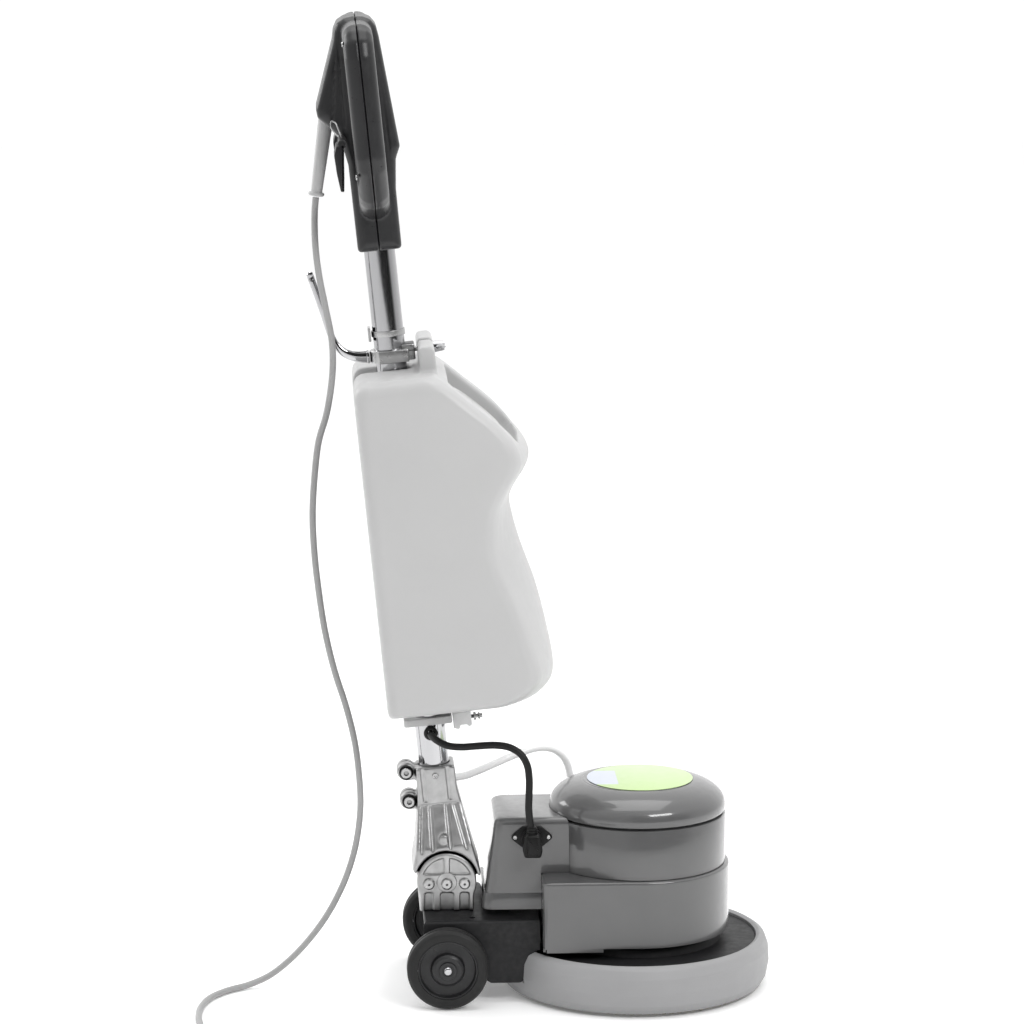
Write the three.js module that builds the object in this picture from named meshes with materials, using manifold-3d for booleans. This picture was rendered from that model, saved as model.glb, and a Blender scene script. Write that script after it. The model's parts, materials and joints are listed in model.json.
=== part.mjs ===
// A wet floor scrubber: a single-disc floor machine with a solution tank on its handle.
// Millimetres, +Z up. The disc is to the front (+X), the handle stands at the rear and leans back.
// The machine is drawn round the middle of its bumper ring, then moved along X so that the part's
// origin is on the floor under the middle of the machine's box.
import * as THREE from 'three';
import { mergeVertices } from 'three/addons/utils/BufferGeometryUtils.js';
import Module from 'manifold-3d';

const wasm = await Module();
wasm.setup();

// ---------- driving dimensions ----------
const GAP = 0.3; // clearance between pieces that touch
const ORIGIN_SHIFT = 114.92; // moves the ring's centre to +X, so that the box is centred
const WIDE_ROUND = 36; // segments of the rings and shells round the motor
const ROUND = 20; // segments of a hidden or middling circle
const SMALL_ROUND = 12; // segments of a bolt or pin

const RING_RADIUS = 170; // bumper ring, outside
const DECK_RADIUS = 153;
const DECK_TOP = 60;
const DAIS_TOP = 70; // raised middle of the deck that carries the motor
const DAIS_RADIUS = 104;
const MOTOR_X = 4; // motor and brush axis, forward of the ring's centre
const MOTOR_RADIUS = 110; // upper housing and dome cap
const BELT_RADIUS = 115; // lower housing
const BELT_TOP = 158;
const BELT_BOTTOM = 74;
const BELT_REAR = -119.5; // rear face of the lower housing
const HOUSING_TOP = 221;
const DOME_BOTTOM = 224;
const DOME_TOP = 261;
const LABEL_RADIUS = 66;
const LABEL_X = 7;
const WALL = 3;

const BOX_BOTTOM = 113; // electrics box behind the motor
const BOX_TOP = 227;
const BOX_REAR_TOP = -177;
const BOX_REAR_BOTTOM = -190.5;
const BOX_HALF_TOP = 64;
const BOX_HALF_BOTTOM = 66.5;
const INLET_X = -131.5; // power inlet on the box's right side
const INLET_Z = 204.5;
const INLET_FACE = -64.6; // outside of the box at the inlet's height

const PIVOT_X = -235.5; // handle hinge
const PIVOT_Z = 142;
const LEAN = 5.7; // degrees that the handle leans back at rest
const HUB_RADIUS = 37;
const HUB_INNER = 31; // inner face of each hub cheek
const HUB_OUTER = 45;
const PIVOT_PIN_RADIUS = 10;
const PIVOT_BORE_RADIUS = 10.5; // so that the flats of the bore clear the pin as the yoke turns

const FRAME_REAR = -265.5;
const FRAME_FRONT = -122.5;
const FRAME_TOP = 105;
const FRAME_BOTTOM = 26;
const FRAME_HALF = 91;
const SHEET = 3;

const WHEEL_X = -237;
const WHEEL_RADIUS = 50;
const WHEEL_Z = 51.5;
const WHEEL_INNER = 97; // inner face of each wheel
const WHEEL_WIDTH = 25;
const AXLE_RADIUS = 8;

const TUBE_RADIUS = 19;
const TUBE_BORE = 17.5;
const TUBE_BOTTOM = 32; // heights in the handle's own frame start at the hinge
const TUBE_TOP = 985;
const COLLAR_TOP = 143;
const GROMMET_HEIGHT = 185;
const EAR_D = -35.5; // clamping ears behind the yoke's slit, and the heights of their bolts
const EAR_HEIGHTS = [['upper', 137.5], ['lower', 100.5]];

const TANK_BOTTOM = 198;
const TANK_FOOT = 205; // underside of the tank at its middle, where the bracket carries it
const TANK_TOP = 641;
const TANK_HALF = 125;
const TANK_REAR = -50;
const TANK_WALL = 3;
const CHANNEL_HALF = 22; // slot at the tank's rear that the tube stands in

const CLAMP_HEIGHT = 657;
const HEAD_BOTTOM = 789;
const HEAD_TOP = 1069;
const LEVER_PIVOT_D = -31;
const LEVER_PIVOT_HEIGHT = 928;
const CORD_GLAND_D = -46.5; // hole in the head that the mains cord comes out of
const BUTTON_ANGLE = -72; // the button's face looks back and up, square to the head's rear slope

const CORD_RADIUS = 4;
const LEAD_RADIUS = 4.5;
const HOSE_RADIUS = 5;
const COIL_CENTRE = [-420, -425]; // the stored coil of mains cord on the floor, x and y
const COIL_MEAN_RADIUS = 68;
const COIL_COLUMNS = 5; // turns side by side
const COIL_LAYERS = 4;
const COIL_LIFT = 1.6; // the tie round the turns passes under them

// ---------- solids ----------
const degrees = Math.PI / 180;

// A manifold-3d solid from a closed three.js geometry, its faces turned out if need be.
function solid(geometry) {
  const bare = geometry.index ? geometry.toNonIndexed() : geometry.clone();
  bare.deleteAttribute('normal');
  bare.deleteAttribute('uv');
  const merged = mergeVertices(bare, 1e-4);
  const vertProperties = merged.attributes.position.array;
  const triVerts = new Uint32Array(merged.index.array);
  const made = new wasm.Manifold(new wasm.Mesh({ numProp: 3, vertProperties, triVerts }));
  if (made.volume() > 0) return made;
  for (let i = 0; i < triVerts.length; i += 3) {
    [triVerts[i + 1], triVerts[i + 2]] = [triVerts[i + 2], triVerts[i + 1]];
  }
  return new wasm.Manifold(new wasm.Mesh({ numProp: 3, vertProperties, triVerts }));
}

const join = (first, ...rest) => rest.reduce((whole, piece) => whole.add(piece), first);
const cut = (first, ...rest) => rest.reduce((whole, piece) => whole.subtract(piece), first);

function geometryOf(manifold) {
  const mesh = manifold.getMesh();
  const geometry = new THREE.BufferGeometry();
  geometry.setAttribute('position', new THREE.BufferAttribute(new Float32Array(mesh.vertProperties), 3));
  geometry.setIndex(new THREE.BufferAttribute(new Uint32Array(mesh.triVerts), 1));
  const faceted = geometry.toNonIndexed();
  faceted.computeVertexNormals();
  return faceted;
}

function block(x0, x1, y0, y1, z0, z1) {
  const geometry = new THREE.BoxGeometry(x1 - x0, y1 - y0, z1 - z0);
  return solid(geometry.translate((x0 + x1) / 2, (y0 + y1) / 2, (z0 + z1) / 2));
}

// A ring or dish turned round a vertical axis from a closed outline of [radius, height] points.
function turned(outline, x = 0, y = 0, segments = ROUND) {
  const points = outline.map(([radius, height]) => new THREE.Vector2(radius, height));
  points.push(points[0].clone());
  return solid(new THREE.LatheGeometry(points, segments).rotateX(90 * degrees).translate(x, y, 0));
}

const ringOutline = (inner, outer, low, high) => [[inner, low], [outer, low], [outer, high], [inner, high]];

// A cylinder along an axis, 'x', 'y' or 'z', between two places on that axis.
function cylinder(axis, radius, from, to, centre = [0, 0], segments = SMALL_ROUND) {
  const geometry = new THREE.CylinderGeometry(radius, radius, to - from, segments);
  const middle = (from + to) / 2;
  if (axis === 'x') return solid(geometry.rotateZ(90 * degrees).translate(middle, centre[0], centre[1]));
  if (axis === 'y') return solid(geometry.translate(centre[0], middle, centre[1]));
  return solid(geometry.rotateX(90 * degrees).translate(centre[0], centre[1], middle));
}

const outlineShape = (points) => new THREE.Shape(points.map(([a, b]) => new THREE.Vector2(a, b)));

// An outline of [x, z] points given a width along Y, from y0 to y1.
function sideProfile(points, y0, y1, bevel = 0) {
  const geometry = new THREE.ExtrudeGeometry(outlineShape(points), extrudeOptions(y1 - y0, bevel));
  return solid(geometry.rotateX(90 * degrees).translate(0, y1 - bevel, 0));
}

// An outline of [y, z] points given a depth along X, from x0 to x1.
function frontProfile(points, x0, x1, bevel = 0) {
  const geometry = new THREE.ExtrudeGeometry(outlineShape(points), extrudeOptions(x1 - x0, bevel));
  geometry.rotateX(90 * degrees).rotateZ(90 * degrees);
  return solid(geometry.translate(x0 + bevel, 0, 0));
}

// An outline of [x, y] points given a height.
function plan(points, z0, z1) {
  const geometry = new THREE.ExtrudeGeometry(outlineShape(points), extrudeOptions(z1 - z0, 0));
  return solid(geometry.translate(0, 0, z0));
}

function extrudeOptions(depth, bevel) {
  if (bevel === 0) return { depth, bevelEnabled: false };
  return {
    depth: depth - 2 * bevel,
    bevelThickness: bevel,
    bevelSize: bevel,
    bevelOffset: -bevel,
    bevelSegments: 1,
  };
}

const middleOf = (ring) => [0, 1, 2].map((k) => ring.reduce((sum, point) => sum + point[k], 0) / ring.length);

// A closed solid through a stack of rings, each a list of [x, y, z] with the same count. Its ends are fans
// round the point foot and the last ring's middle.
function loft(rings, foot = middleOf(rings[0])) {
  const count = rings[0].length;
  const positions = rings.flat(2);
  const indices = [];
  for (let r = 0; r + 1 < rings.length; r += 1) {
    for (let i = 0; i < count; i += 1) {
      const a = r * count + i;
      const b = r * count + ((i + 1) % count);
      indices.push(a, b, b + count, a, b + count, a + count);
    }
  }
  const bottom = positions.length / 3;
  positions.push(...foot, ...middleOf(rings[rings.length - 1]));
  const last = (rings.length - 1) * count;
  for (let i = 0; i < count; i += 1) {
    const next = (i + 1) % count;
    indices.push(bottom, next, i, bottom + 1, last + i, last + next);
  }
  const geometry = new THREE.BufferGeometry();
  geometry.setAttribute('position', new THREE.Float32BufferAttribute(positions, 3));
  geometry.setIndex(indices);
  return solid(geometry);
}

// A round lead or rod along a smooth curve through points.
function rod(points, radius, sides, steps) {
  const path = new THREE.CatmullRomCurve3(points.map((p) => new THREE.Vector3(...p)), false, 'centripetal');
  const section = new THREE.Shape();
  for (let i = 0; i < sides; i += 1) {
    const angle = (2 * Math.PI * i) / sides;
    const x = radius * Math.cos(angle);
    const y = radius * Math.sin(angle);
    if (i === 0) section.moveTo(x, y);
    else section.lineTo(x, y);
  }
  section.closePath();
  return solid(new THREE.ExtrudeGeometry(section, { steps, bevelEnabled: false, extrudePath: path }));
}

// Points of an arc, angles in degrees.
function arc(cx, cy, radius, from, to, steps) {
  return Array.from({ length: steps + 1 }, (_, i) => {
    const angle = (from + ((to - from) * i) / steps) * degrees;
    return [cx + radius * Math.cos(angle), cy + radius * Math.sin(angle)];
  });
}

const mirrored = (points) => points.map(([a, b]) => [-a, b]).reverse();

// Moves each corner of an outline inwards by a distance; the outline runs anticlockwise.
function inset(points, distance) {
  const count = points.length;
  return points.map((point, i) => {
    const before = points[(i + count - 1) % count];
    const after = points[(i + 1) % count];
    const inwards = (a, b) => {
      const length = Math.hypot(b[0] - a[0], b[1] - a[1]);
      return [-(b[1] - a[1]) / length, (b[0] - a[0]) / length];
    };
    const first = inwards(before, point);
    const second = inwards(point, after);
    const scale = distance / Math.max(0.35, 1 + first[0] * second[0] + first[1] * second[1]);
    return [point[0] + (first[0] + second[0]) * scale, point[1] + (first[1] + second[1]) * scale];
  });
}

// ---------- materials ----------
function finish(color, roughness, metalness) {
  return new THREE.MeshStandardMaterial({ color, roughness, metalness });
}

const greyShell = finish(0x6a6a6a, 0.32, 0);
const blackPaint = finish(0x242424, 0.45, 0.1);
const blackPlastic = finish(0x333333, 0.5, 0);
const greyRubber = finish(0xa8a8a8, 0.55, 0);
const paleTank = finish(0xdadada, 0.5, 0);
const steel = finish(0xb9b9b9, 0.22, 1);
const castAluminium = finish(0xc4c4c4, 0.28, 1);
const blackRubber = finish(0x262626, 0.75, 0);
const greyCord = finish(0xa2a2a2, 0.55, 0);
const copper = finish(0xa8623a, 0.45, 1);
const nylon = finish(0xd6d2c4, 0.7, 0);
const labelGreen = finish(0xc4ef9c, 0.5, 0);

const machine = new THREE.Group();
machine.position.x = ORIGIN_SHIFT;
const handle = new THREE.Group();
handle.position.set(PIVOT_X, 0, PIVOT_Z);
handle.rotation.y = -LEAN * degrees;
machine.add(handle);

function add(group, name, manifold, material) {
  const mesh = new THREE.Mesh(geometryOf(manifold), material);
  mesh.name = name;
  group.add(mesh);
}

const sides = [['left', 1], ['right', -1]];

// ---------- deck and brush ----------
function deck() {
  const disc = turned(ringOutline(24, DECK_RADIUS, DECK_TOP - 4, DECK_TOP), 0, 0, WIDE_ROUND);
  const dais = turned([[24, DECK_TOP - 1], [DAIS_RADIUS + 2, DECK_TOP - 1], [DAIS_RADIUS, DAIS_TOP],
    [24, DAIS_TOP]], MOTOR_X);
  const bore = cylinder('z', 28, 50, 80, [MOTOR_X, 0], ROUND);
  add(machine, 'deck_disc', cut(join(disc, dais), bore), blackPaint);

  const ring = turned([[147, 51.5], [158, 51.5], [163.6, 36], [161.5, 17], [157.8, 5], [161.5, 5], [167, 15],
    [RING_RADIUS, 31], [169, 49], [164.5, 61], [158, 65], [153.4, 62.5], [153.4, 55.6], [147, 55.6]],
  0, 0, WIDE_ROUND);
  const slots = sides.map(([, side]) => block(-180, -116, side * (FRAME_HALF - SHEET / 2) - 2.2,
    side * (FRAME_HALF - SHEET / 2) + 2.2, FRAME_BOTTOM - 0.6, 80));
  add(machine, 'bumper_ring', cut(ring, ...slots), greyRubber);
}

const BRUSH_RADIUS = 151;

function brush() {
  add(machine, 'brush_bristles', turned(ringOutline(56, BRUSH_RADIUS, 0, 27.7), MOTOR_X), nylon);
  const board = turned(ringOutline(50, BRUSH_RADIUS + 1, 28, 42), MOTOR_X);
  add(machine, 'brush_block', board, blackPlastic);
  const plate = turned([[12.6, 42.3], [62, 42.3], [62, 47], [26, 47], [26, 54], [12.6, 54]], MOTOR_X);
  const driver = turned([[12.6, 30], [49, 30], [49, 42.3], [12.6, 42.3]], MOTOR_X);
  add(machine, 'drive_plate', join(plate, driver), castAluminium);
}

// ---------- gearbox and motor ----------
const RING_PITCH = 84;
const SUN_PITCH = 12;
const PLANET_PITCH = (RING_PITCH - SUN_PITCH) / 2;
const PLANET_ORBIT = SUN_PITCH + PLANET_PITCH;
const GEAR_LOW = 84;
const GEAR_HIGH = 104;
const planetPlaces = [90, 210, 330].map((angle) => [
  MOTOR_X + PLANET_ORBIT * Math.cos(angle * degrees), PLANET_ORBIT * Math.sin(angle * degrees)]);

function gearbox() {
  const gearCase = turned([[20.6, DAIS_TOP + GAP], [100, DAIS_TOP + GAP], [100, 118], [96, 118],
    [96, 77], [20.6, 77]], MOTOR_X, 0, WIDE_ROUND);
  add(machine, 'gear_case', gearCase, castAluminium);
  add(machine, 'output_bearing', turned(ringOutline(12.4, 20.3, DAIS_TOP + GAP, 77), MOTOR_X), steel);
  const rim = turned(ringOutline(RING_PITCH, 94.7, GEAR_LOW, GEAR_HIGH), MOTOR_X, 0, WIDE_ROUND);
  add(machine, 'ring_gear', rim, steel);

  const shaft = cylinder('z', 12, 31, 78, [MOTOR_X, 0], ROUND);
  const plate = cylinder('z', 62, 77.6, 82.5, [MOTOR_X, 0], ROUND);
  const pins = planetPlaces.map((place) => cylinder('z', 7, 82, 105, place));
  add(machine, 'planet_carrier', join(shaft, plate, ...pins), steel);
  planetPlaces.forEach(([x, y], i) => {
    const wheel = turned(ringOutline(7.3, PLANET_PITCH - 0.9, GEAR_LOW, GEAR_HIGH), x, y, 36);
    add(machine, `planet_gear_${i + 1}`, wheel, nylon);
  });
}

function motor() {
  const sun = cylinder('z', SUN_PITCH - GAP / 2, 83.2, 106, [MOTOR_X, 0]);
  const shaft = cylinder('z', 9, 100, 213, [MOTOR_X, 0]);
  add(machine, 'rotor_shaft', join(sun, shaft), steel);
  add(machine, 'rotor_core', turned(ringOutline(9.3, 54.5, 134, 194), MOTOR_X), steel);
  add(machine, 'lower_end_bell', turned(ringOutline(14, 100, 118.3, 123.5), MOTOR_X), castAluminium);
  const windings = turned([[58, 125], [88, 125], [91, 131.5], [97, 133], [97, 195], [91, 196.5],
    [88, 204], [58, 204], [55.3, 195], [55.3, 133]], MOTOR_X);
  add(machine, 'stator_windings', windings, copper);
  const bell = turned([[9.3, 206], [98, 206], [98, 211], [24, 211], [24, 216], [9.3, 216]], MOTOR_X);
  add(machine, 'upper_end_bell', bell, castAluminium);
}

// ---------- housings ----------
// Plan outline of the lower housing: straight sides at the rear and a half round front.
const beltOutline = (grow) => [
  [BELT_REAR - grow, -BELT_RADIUS - grow],
  ...arc(MOTOR_X, 0, BELT_RADIUS + grow, -90, 90, 20),
  [BELT_REAR - grow, BELT_RADIUS + grow],
];

function boxSolid(grow, low = BOX_BOTTOM) {
  const ringAt = (rear, half, height) => [
    [rear, -half, height], [-60, -half, height], [-60, half, height], [rear, half, height]];
  return loft([
    ringAt(BOX_REAR_BOTTOM - grow, BOX_HALF_BOTTOM + grow, low),
    ringAt(BOX_REAR_TOP - grow, BOX_HALF_TOP + grow, BOX_TOP - 5),
    ringAt(BOX_REAR_TOP + 4 - grow, BOX_HALF_TOP - 4 + grow, BOX_TOP + grow),
  ]);
}

function housings() {
  const outer = plan(beltOutline(0), BELT_BOTTOM, BELT_TOP);
  const rearSkirt = block(BELT_REAR, -46, -BELT_RADIUS, BELT_RADIUS, BELT_BOTTOM - 4, BELT_TOP);
  const hollow = plan(beltOutline(-WALL), BELT_BOTTOM - 20, BELT_TOP - WALL);
  const well = cylinder('z', MOTOR_RADIUS - 6, 140, 170, [MOTOR_X, 0], ROUND);
  const cableSlot = block(BELT_REAR - 5, -100, -40, 40, 110, 150);
  add(machine, 'belt_housing', cut(join(outer, rearSkirt), hollow, well, cableSlot), greyShell);

  const upper = turned([[MOTOR_RADIUS - WALL, BELT_TOP + GAP], [MOTOR_RADIUS, BELT_TOP + GAP],
    [MOTOR_RADIUS, HOUSING_TOP], [MOTOR_RADIUS - 11, HOUSING_TOP], [MOTOR_RADIUS - 11, HOUSING_TOP - WALL],
    [MOTOR_RADIUS - WALL, HOUSING_TOP - WALL]], MOTOR_X, 0, WIDE_ROUND);
  add(machine, 'motor_housing', upper, greyShell);
  const seal = ringOutline(98, 106, HOUSING_TOP + GAP, DOME_BOTTOM - GAP);
  add(machine, 'cap_gasket', turned(seal, MOTOR_X, 0, WIDE_ROUND), blackRubber);
  const cap = turned([[107, DOME_BOTTOM], [MOTOR_RADIUS - 0.5, DOME_BOTTOM], [MOTOR_RADIUS, 230],
    [107, 241], [99, 250], [84, 257], [70, DOME_TOP], [0, DOME_TOP], [0, 257.5], [69, 257.5], [82, 253.6],
    [96, 247], [104, 239], [107, 230]]
    .reverse(), MOTOR_X, 0, WIDE_ROUND);
  add(machine, 'dome_cap', cap, greyShell);
  add(machine, 'cap_label', cylinder('z', LABEL_RADIUS, DOME_TOP + GAP, DOME_TOP + 0.9, [LABEL_X, 0], 40),
    labelGreen);
}

function electricsBox() {
  const cylinderSpace = cylinder('z', MOTOR_RADIUS + GAP, BELT_TOP, 240, [MOTOR_X, 0], WIDE_ROUND);
  const beltSpace = plan(beltOutline(GAP), 60, BELT_TOP + GAP);
  const flange = loft([
    [[-192.6, -68, BOX_BOTTOM], [-60, -68, BOX_BOTTOM], [-60, 68, BOX_BOTTOM], [-192.6, 68, BOX_BOTTOM]],
    [[-190, -67.8, 133], [-60, -67.8, 133], [-60, 67.8, 133], [-190, 67.8, 133]],
  ]);
  const inletHole = cylinder('y', 13.5, -80, -50, [INLET_X, INLET_Z]);
  const outside = join(boxSolid(0), flange);
  const inside = boxSolid(-WALL, BOX_BOTTOM - 1);
  add(machine, 'electrics_box', cut(outside, inside, cylinderSpace, beltSpace, inletHole), greyShell);
  add(machine, 'start_capacitor', cylinder('z', 22, 118, 208, [-148, 26], 28), blackPlastic);
}

// ---------- power inlet and the leads that cross the hinge ----------
function inlet() {
  const face = INLET_FACE - 0.6;
  const diamond = [[-26, 0], [-22, -4.5], [-11, -13.5], [11, -13.5], [22, -4.5], [26, 0], [22, 4.5],
    [11, 13.5], [-11, 13.5], [-22, 4.5]].map(([x, z]) => [INLET_X + x, INLET_Z + z]);
  const flange = sideProfile(diamond, face - 3.5, face);
  const barrel = cylinder('y', 13, face - 1, -44, [INLET_X, INLET_Z]);
  add(machine, 'power_inlet', join(flange, barrel), blackPlastic);
  const front = face - 3.5 - GAP;
  const body = cylinder('y', 13, front - 9, front, [INLET_X, INLET_Z - 1]);
  const side = [[-10, -20], [10, -20], [12, -12], [10, 6], [6.5, 9], [-6.5, 9], [-10, 6], [-12, -12]]
    .map(([x, z]) => [INLET_X + x, INLET_Z + z]);
  const elbow = sideProfile(side, front - 27, front - 5, 3);
  add(machine, 'lead_plug', join(body, elbow), blackPlastic);
}

function leads() {
  const leadRoute = [[-253.9, -26, 325.4], [-252.6, -33, 324.8], [-246, -45, 322], [-234, -56, 318.5],
    [-217, -63.5, 318.5], [-197, -69, 321], [-177, -72.5, 322.5], [-160, -75.5, 320.5], [-146, -78.5, 312.5],
    [-138, -80.5, 299], [-135.5, -82, 281], [-135.8, -83, 262], [-136.2, -83.6, 244], [-134.6, -84, 228],
    [-131.9, -84.3, 214.8]];
  add(machine, 'motor_lead', rod(leadRoute, LEAD_RADIUS, 8, 20), blackRubber);
  const hoseRoute = [[-259.5, 37, 327.5], [-262, 38, 316], [-263, 40, 300], [-260, 42.5, 283],
    [-252, 45, 268], [-240, 47.5, 257], [-226, 49.5, 252.5], [-211, 51.5, 253.2], [-194, 54, 258.5],
    [-174, 58, 266], [-154, 63, 273.5], [-134.5, 69, 279.5], [-118, 75, 282.5], [-104, 81, 281.5],
    [-91, 86.5, 275.5], [-81, 91, 264.5], [-75.5, 94, 250], [-73, 96, 230], [-72.2, 97, 205], [-72, 97, 181]];
  add(machine, 'solution_hose', rod(hoseRoute, HOSE_RADIUS, 8, 24), paleTank);
  const spigot = [[3.2, BELT_TOP + GAP], [11, BELT_TOP + GAP], [11, 163], [7, 165], [6, 180.5], [3.2, 180.5]];
  add(machine, 'hose_inlet', turned(spigot, -72, 97, SMALL_ROUND), blackPlastic);
}

// ---------- rear frame, wheels and hinge block ----------
function rearFrame() {
  const cheek = [[FRAME_REAR, FRAME_TOP], [FRAME_REAR, 38], [-262, 34], [-195, 34], [-183, FRAME_BOTTOM],
    [-145, FRAME_BOTTOM], [-127, 52], [-127, 67], [FRAME_FRONT, 67], [FRAME_FRONT, FRAME_TOP]].reverse();
  const plates = sides.map(([, side]) => sideProfile(cheek, side > 0 ? FRAME_HALF - SHEET : -FRAME_HALF,
    side > 0 ? FRAME_HALF : -FRAME_HALF + SHEET));
  const top = block(FRAME_REAR, FRAME_FRONT, -FRAME_HALF, FRAME_HALF, FRAME_TOP - SHEET, FRAME_TOP);
  const front = block(FRAME_FRONT - SHEET, FRAME_FRONT, -FRAME_HALF, FRAME_HALF, 67, FRAME_TOP);
  const foot = block(FRAME_FRONT - SHEET, -106, -70, 70, DECK_TOP + GAP, 69.5);
  const axleHole = cylinder('y', AXLE_RADIUS + GAP, -150, 150, [WHEEL_X, WHEEL_Z]);
  const leadHole = cylinder('z', 9, 95, 110, [-160, 0]);
  add(machine, 'rear_frame', cut(join(top, ...plates, front, foot), axleHole, leadHole), blackPaint);
}

function wheels() {
  const outer = WHEEL_INNER + WHEEL_WIDTH;
  const caps = sides.map(([, side]) => cylinder('y', 11, side > 0 ? outer + 0.6 : -outer - 4,
    side > 0 ? outer + 4 : -outer - 0.6, [WHEEL_X, WHEEL_Z]));
  const bar = cylinder('y', AXLE_RADIUS, -outer - 1, outer + 1, [WHEEL_X, WHEEL_Z]);
  add(machine, 'wheel_axle', join(bar, ...caps), steel);
  const tyreOutline = [[37, -12], [46, -12], [WHEEL_RADIUS, -8], [WHEEL_RADIUS, 8], [46, 12], [37, 12]];
  const hubOutline = [[8.4, -12.4], [15, -12.4], [15, -7], [36.7, -11], [36.7, 11], [15, 7], [15, 12.4],
    [8.4, 12.4]];
  for (const [name, side] of sides) {
    const middle = side * (WHEEL_INNER + WHEEL_WIDTH / 2);
    const place = (manifold) => manifold.rotate([90, 0, 0]).translate([WHEEL_X, middle, WHEEL_Z]);
    add(machine, `wheel_tyre_${name}`, place(turned(tyreOutline)), blackRubber);
    add(machine, `wheel_hub_${name}`, place(turned(hubOutline)), blackPlastic);
  }
}

function hingeBlock() {
  const foot = FRAME_TOP + GAP;
  const post = 33.5;
  const cheek = [[PIVOT_X - post, foot], [PIVOT_X + post, foot],
    ...arc(PIVOT_X, PIVOT_Z, HUB_RADIUS, -25, 205, 24)];
  const cheeks = sides.map(([, side]) => sideProfile(cheek, side > 0 ? HUB_INNER : -HUB_OUTER,
    side > 0 ? HUB_OUTER : -HUB_INNER));
  const base = block(PIVOT_X - post, PIVOT_X + post, -HUB_OUTER, HUB_OUTER, foot, foot + 6.5);
  const bore = cylinder('y', PIVOT_BORE_RADIUS, -60, 60, [PIVOT_X, PIVOT_Z], ROUND);
  add(machine, 'hinge_block', cut(join(base, ...cheeks), bore), castAluminium);
  const pin = cylinder('y', PIVOT_PIN_RADIUS, -HUB_OUTER - GAP, HUB_OUTER + GAP, [PIVOT_X, PIVOT_Z]);
  const heads = sides.map(([, side]) => cylinder('y', 12.5, side > 0 ? HUB_OUTER + GAP : -HUB_OUTER - 5,
    side > 0 ? HUB_OUTER + 5 : -HUB_OUTER - GAP, [PIVOT_X, PIVOT_Z]));
  add(machine, 'hinge_bolt', join(pin, ...heads), steel);
}

// ---------- handle: yoke, tube and the pieces at the tank's foot ----------
function yoke() {
  const flank = [[-41, 16], [28, -2], [44, 4], [37, 40], [30, 84], [25, 118], [25, COLLAR_TOP],
    [-23.5, COLLAR_TOP], [-24, 118], [-27.5, 83], [-34, 42]];
  const body = sideProfile(flank, -HUB_OUTER, HUB_OUTER);
  const slope = [[HUB_OUTER + 1, 52], [70, 52], [70, 160], [24, 160], [24, 118]];
  const taper = frontProfile(slope, -60, 60);
  const taperOther = frontProfile(mirrored(slope), -60, 60);
  const hubSpace = sides.map(([, side]) => cylinder('y', HUB_RADIUS + 3.5, side > 0 ? HUB_INNER - 0.6 : -60,
    side > 0 ? 60 : -HUB_INNER + 0.6, [0, 0], ROUND));
  const barrel = cylinder('y', 28, -HUB_INNER + 0.6, HUB_INNER - 0.6, [0, 0], ROUND);
  const web = sideProfile([[-41, 16], [-26, 6], [26, -6], [43, 5], [37, 40], [-34, 42]], -HUB_INNER + 0.6,
    HUB_INNER - 0.6);
  const ears = EAR_HEIGHTS.map(([, height]) => join(
    cylinder('y', 11.5, -14, 14, [EAR_D, height]),
    block(EAR_D, -12, -14, 14, height - 11, height + 5.4)));
  const bore = cylinder('z', TUBE_RADIUS + GAP, TUBE_BOTTOM - GAP, 200, [0, 0], ROUND);
  const slit = block(-60, 0, -1.5, 1.5, 78, 200);
  const boltHoles = EAR_HEIGHTS.map(([, height]) => cylinder('y', 4.3, -60, 60, [EAR_D, height]));
  const hingeBore = cylinder('y', PIVOT_BORE_RADIUS, -60, 60, [0, 0], ROUND);
  const shell = cut(body, taper, taperOther, ...hubSpace);
  const casting = join(shell, web, barrel, ...ears);
  add(handle, 'yoke', cut(casting, bore, slit, hingeBore, ...boltHoles), castAluminium);
  EAR_HEIGHTS.forEach(([name, height]) => {
    const shank = cylinder('y', 4, -15, 15, [EAR_D, height]);
    const head = cylinder('y', 7, -20.5, -14.3, [EAR_D, height]);
    const nut = cylinder('y', 7, 14.3, 20, [EAR_D, height], 6);
    add(handle, `pinch_bolt_${name}`, join(shank, head, nut), steel);
  });
}

function tube() {
  const pipe = turned(ringOutline(TUBE_BORE, TUBE_RADIUS, TUBE_BOTTOM, TUBE_TOP), 0, 0, ROUND);
  const hole = cylinder('y', 6.6, -40, 0, [0, GROMMET_HEIGHT]);
  add(handle, 'handle_tube', cut(pipe, hole), steel);
  const collar = cylinder('y', 8.8, -25, -19.6, [0, GROMMET_HEIGHT]);
  const neck = cylinder('y', 6.2, -20, -15, [0, GROMMET_HEIGHT]);
  const inner = cylinder('y', LEAD_RADIUS + GAP, -40, 0, [0, GROMMET_HEIGHT]);
  add(handle, 'lead_grommet', cut(join(collar, neck), inner), blackRubber);
}

function tankFoot() {
  const top = TANK_FOOT - GAP;
  const plate = block(-32, 28, -24, 24, 195.5, top);
  const bore = cylinder('z', TUBE_RADIUS + GAP, 150, 220, [0, 0], ROUND);
  add(handle, 'tank_bracket', cut(plate, bore), greyRubber);
  const lug = sideProfile([[52, top], [52, 187], [48, 185], [46, 188], [38, 188], [36, 183], [29, 185],
    [29, top]], -9, 9);
  const screw = join(cylinder('x', 2.5, 45, 66, [0, 196]), cylinder('x', 5, 55, 58, [0, 196]),
    cylinder('x', 4.6, 60.5, 63, [0, 196]));
  add(handle, 'drain_lug', join(lug, screw), paleTank);
}

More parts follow.
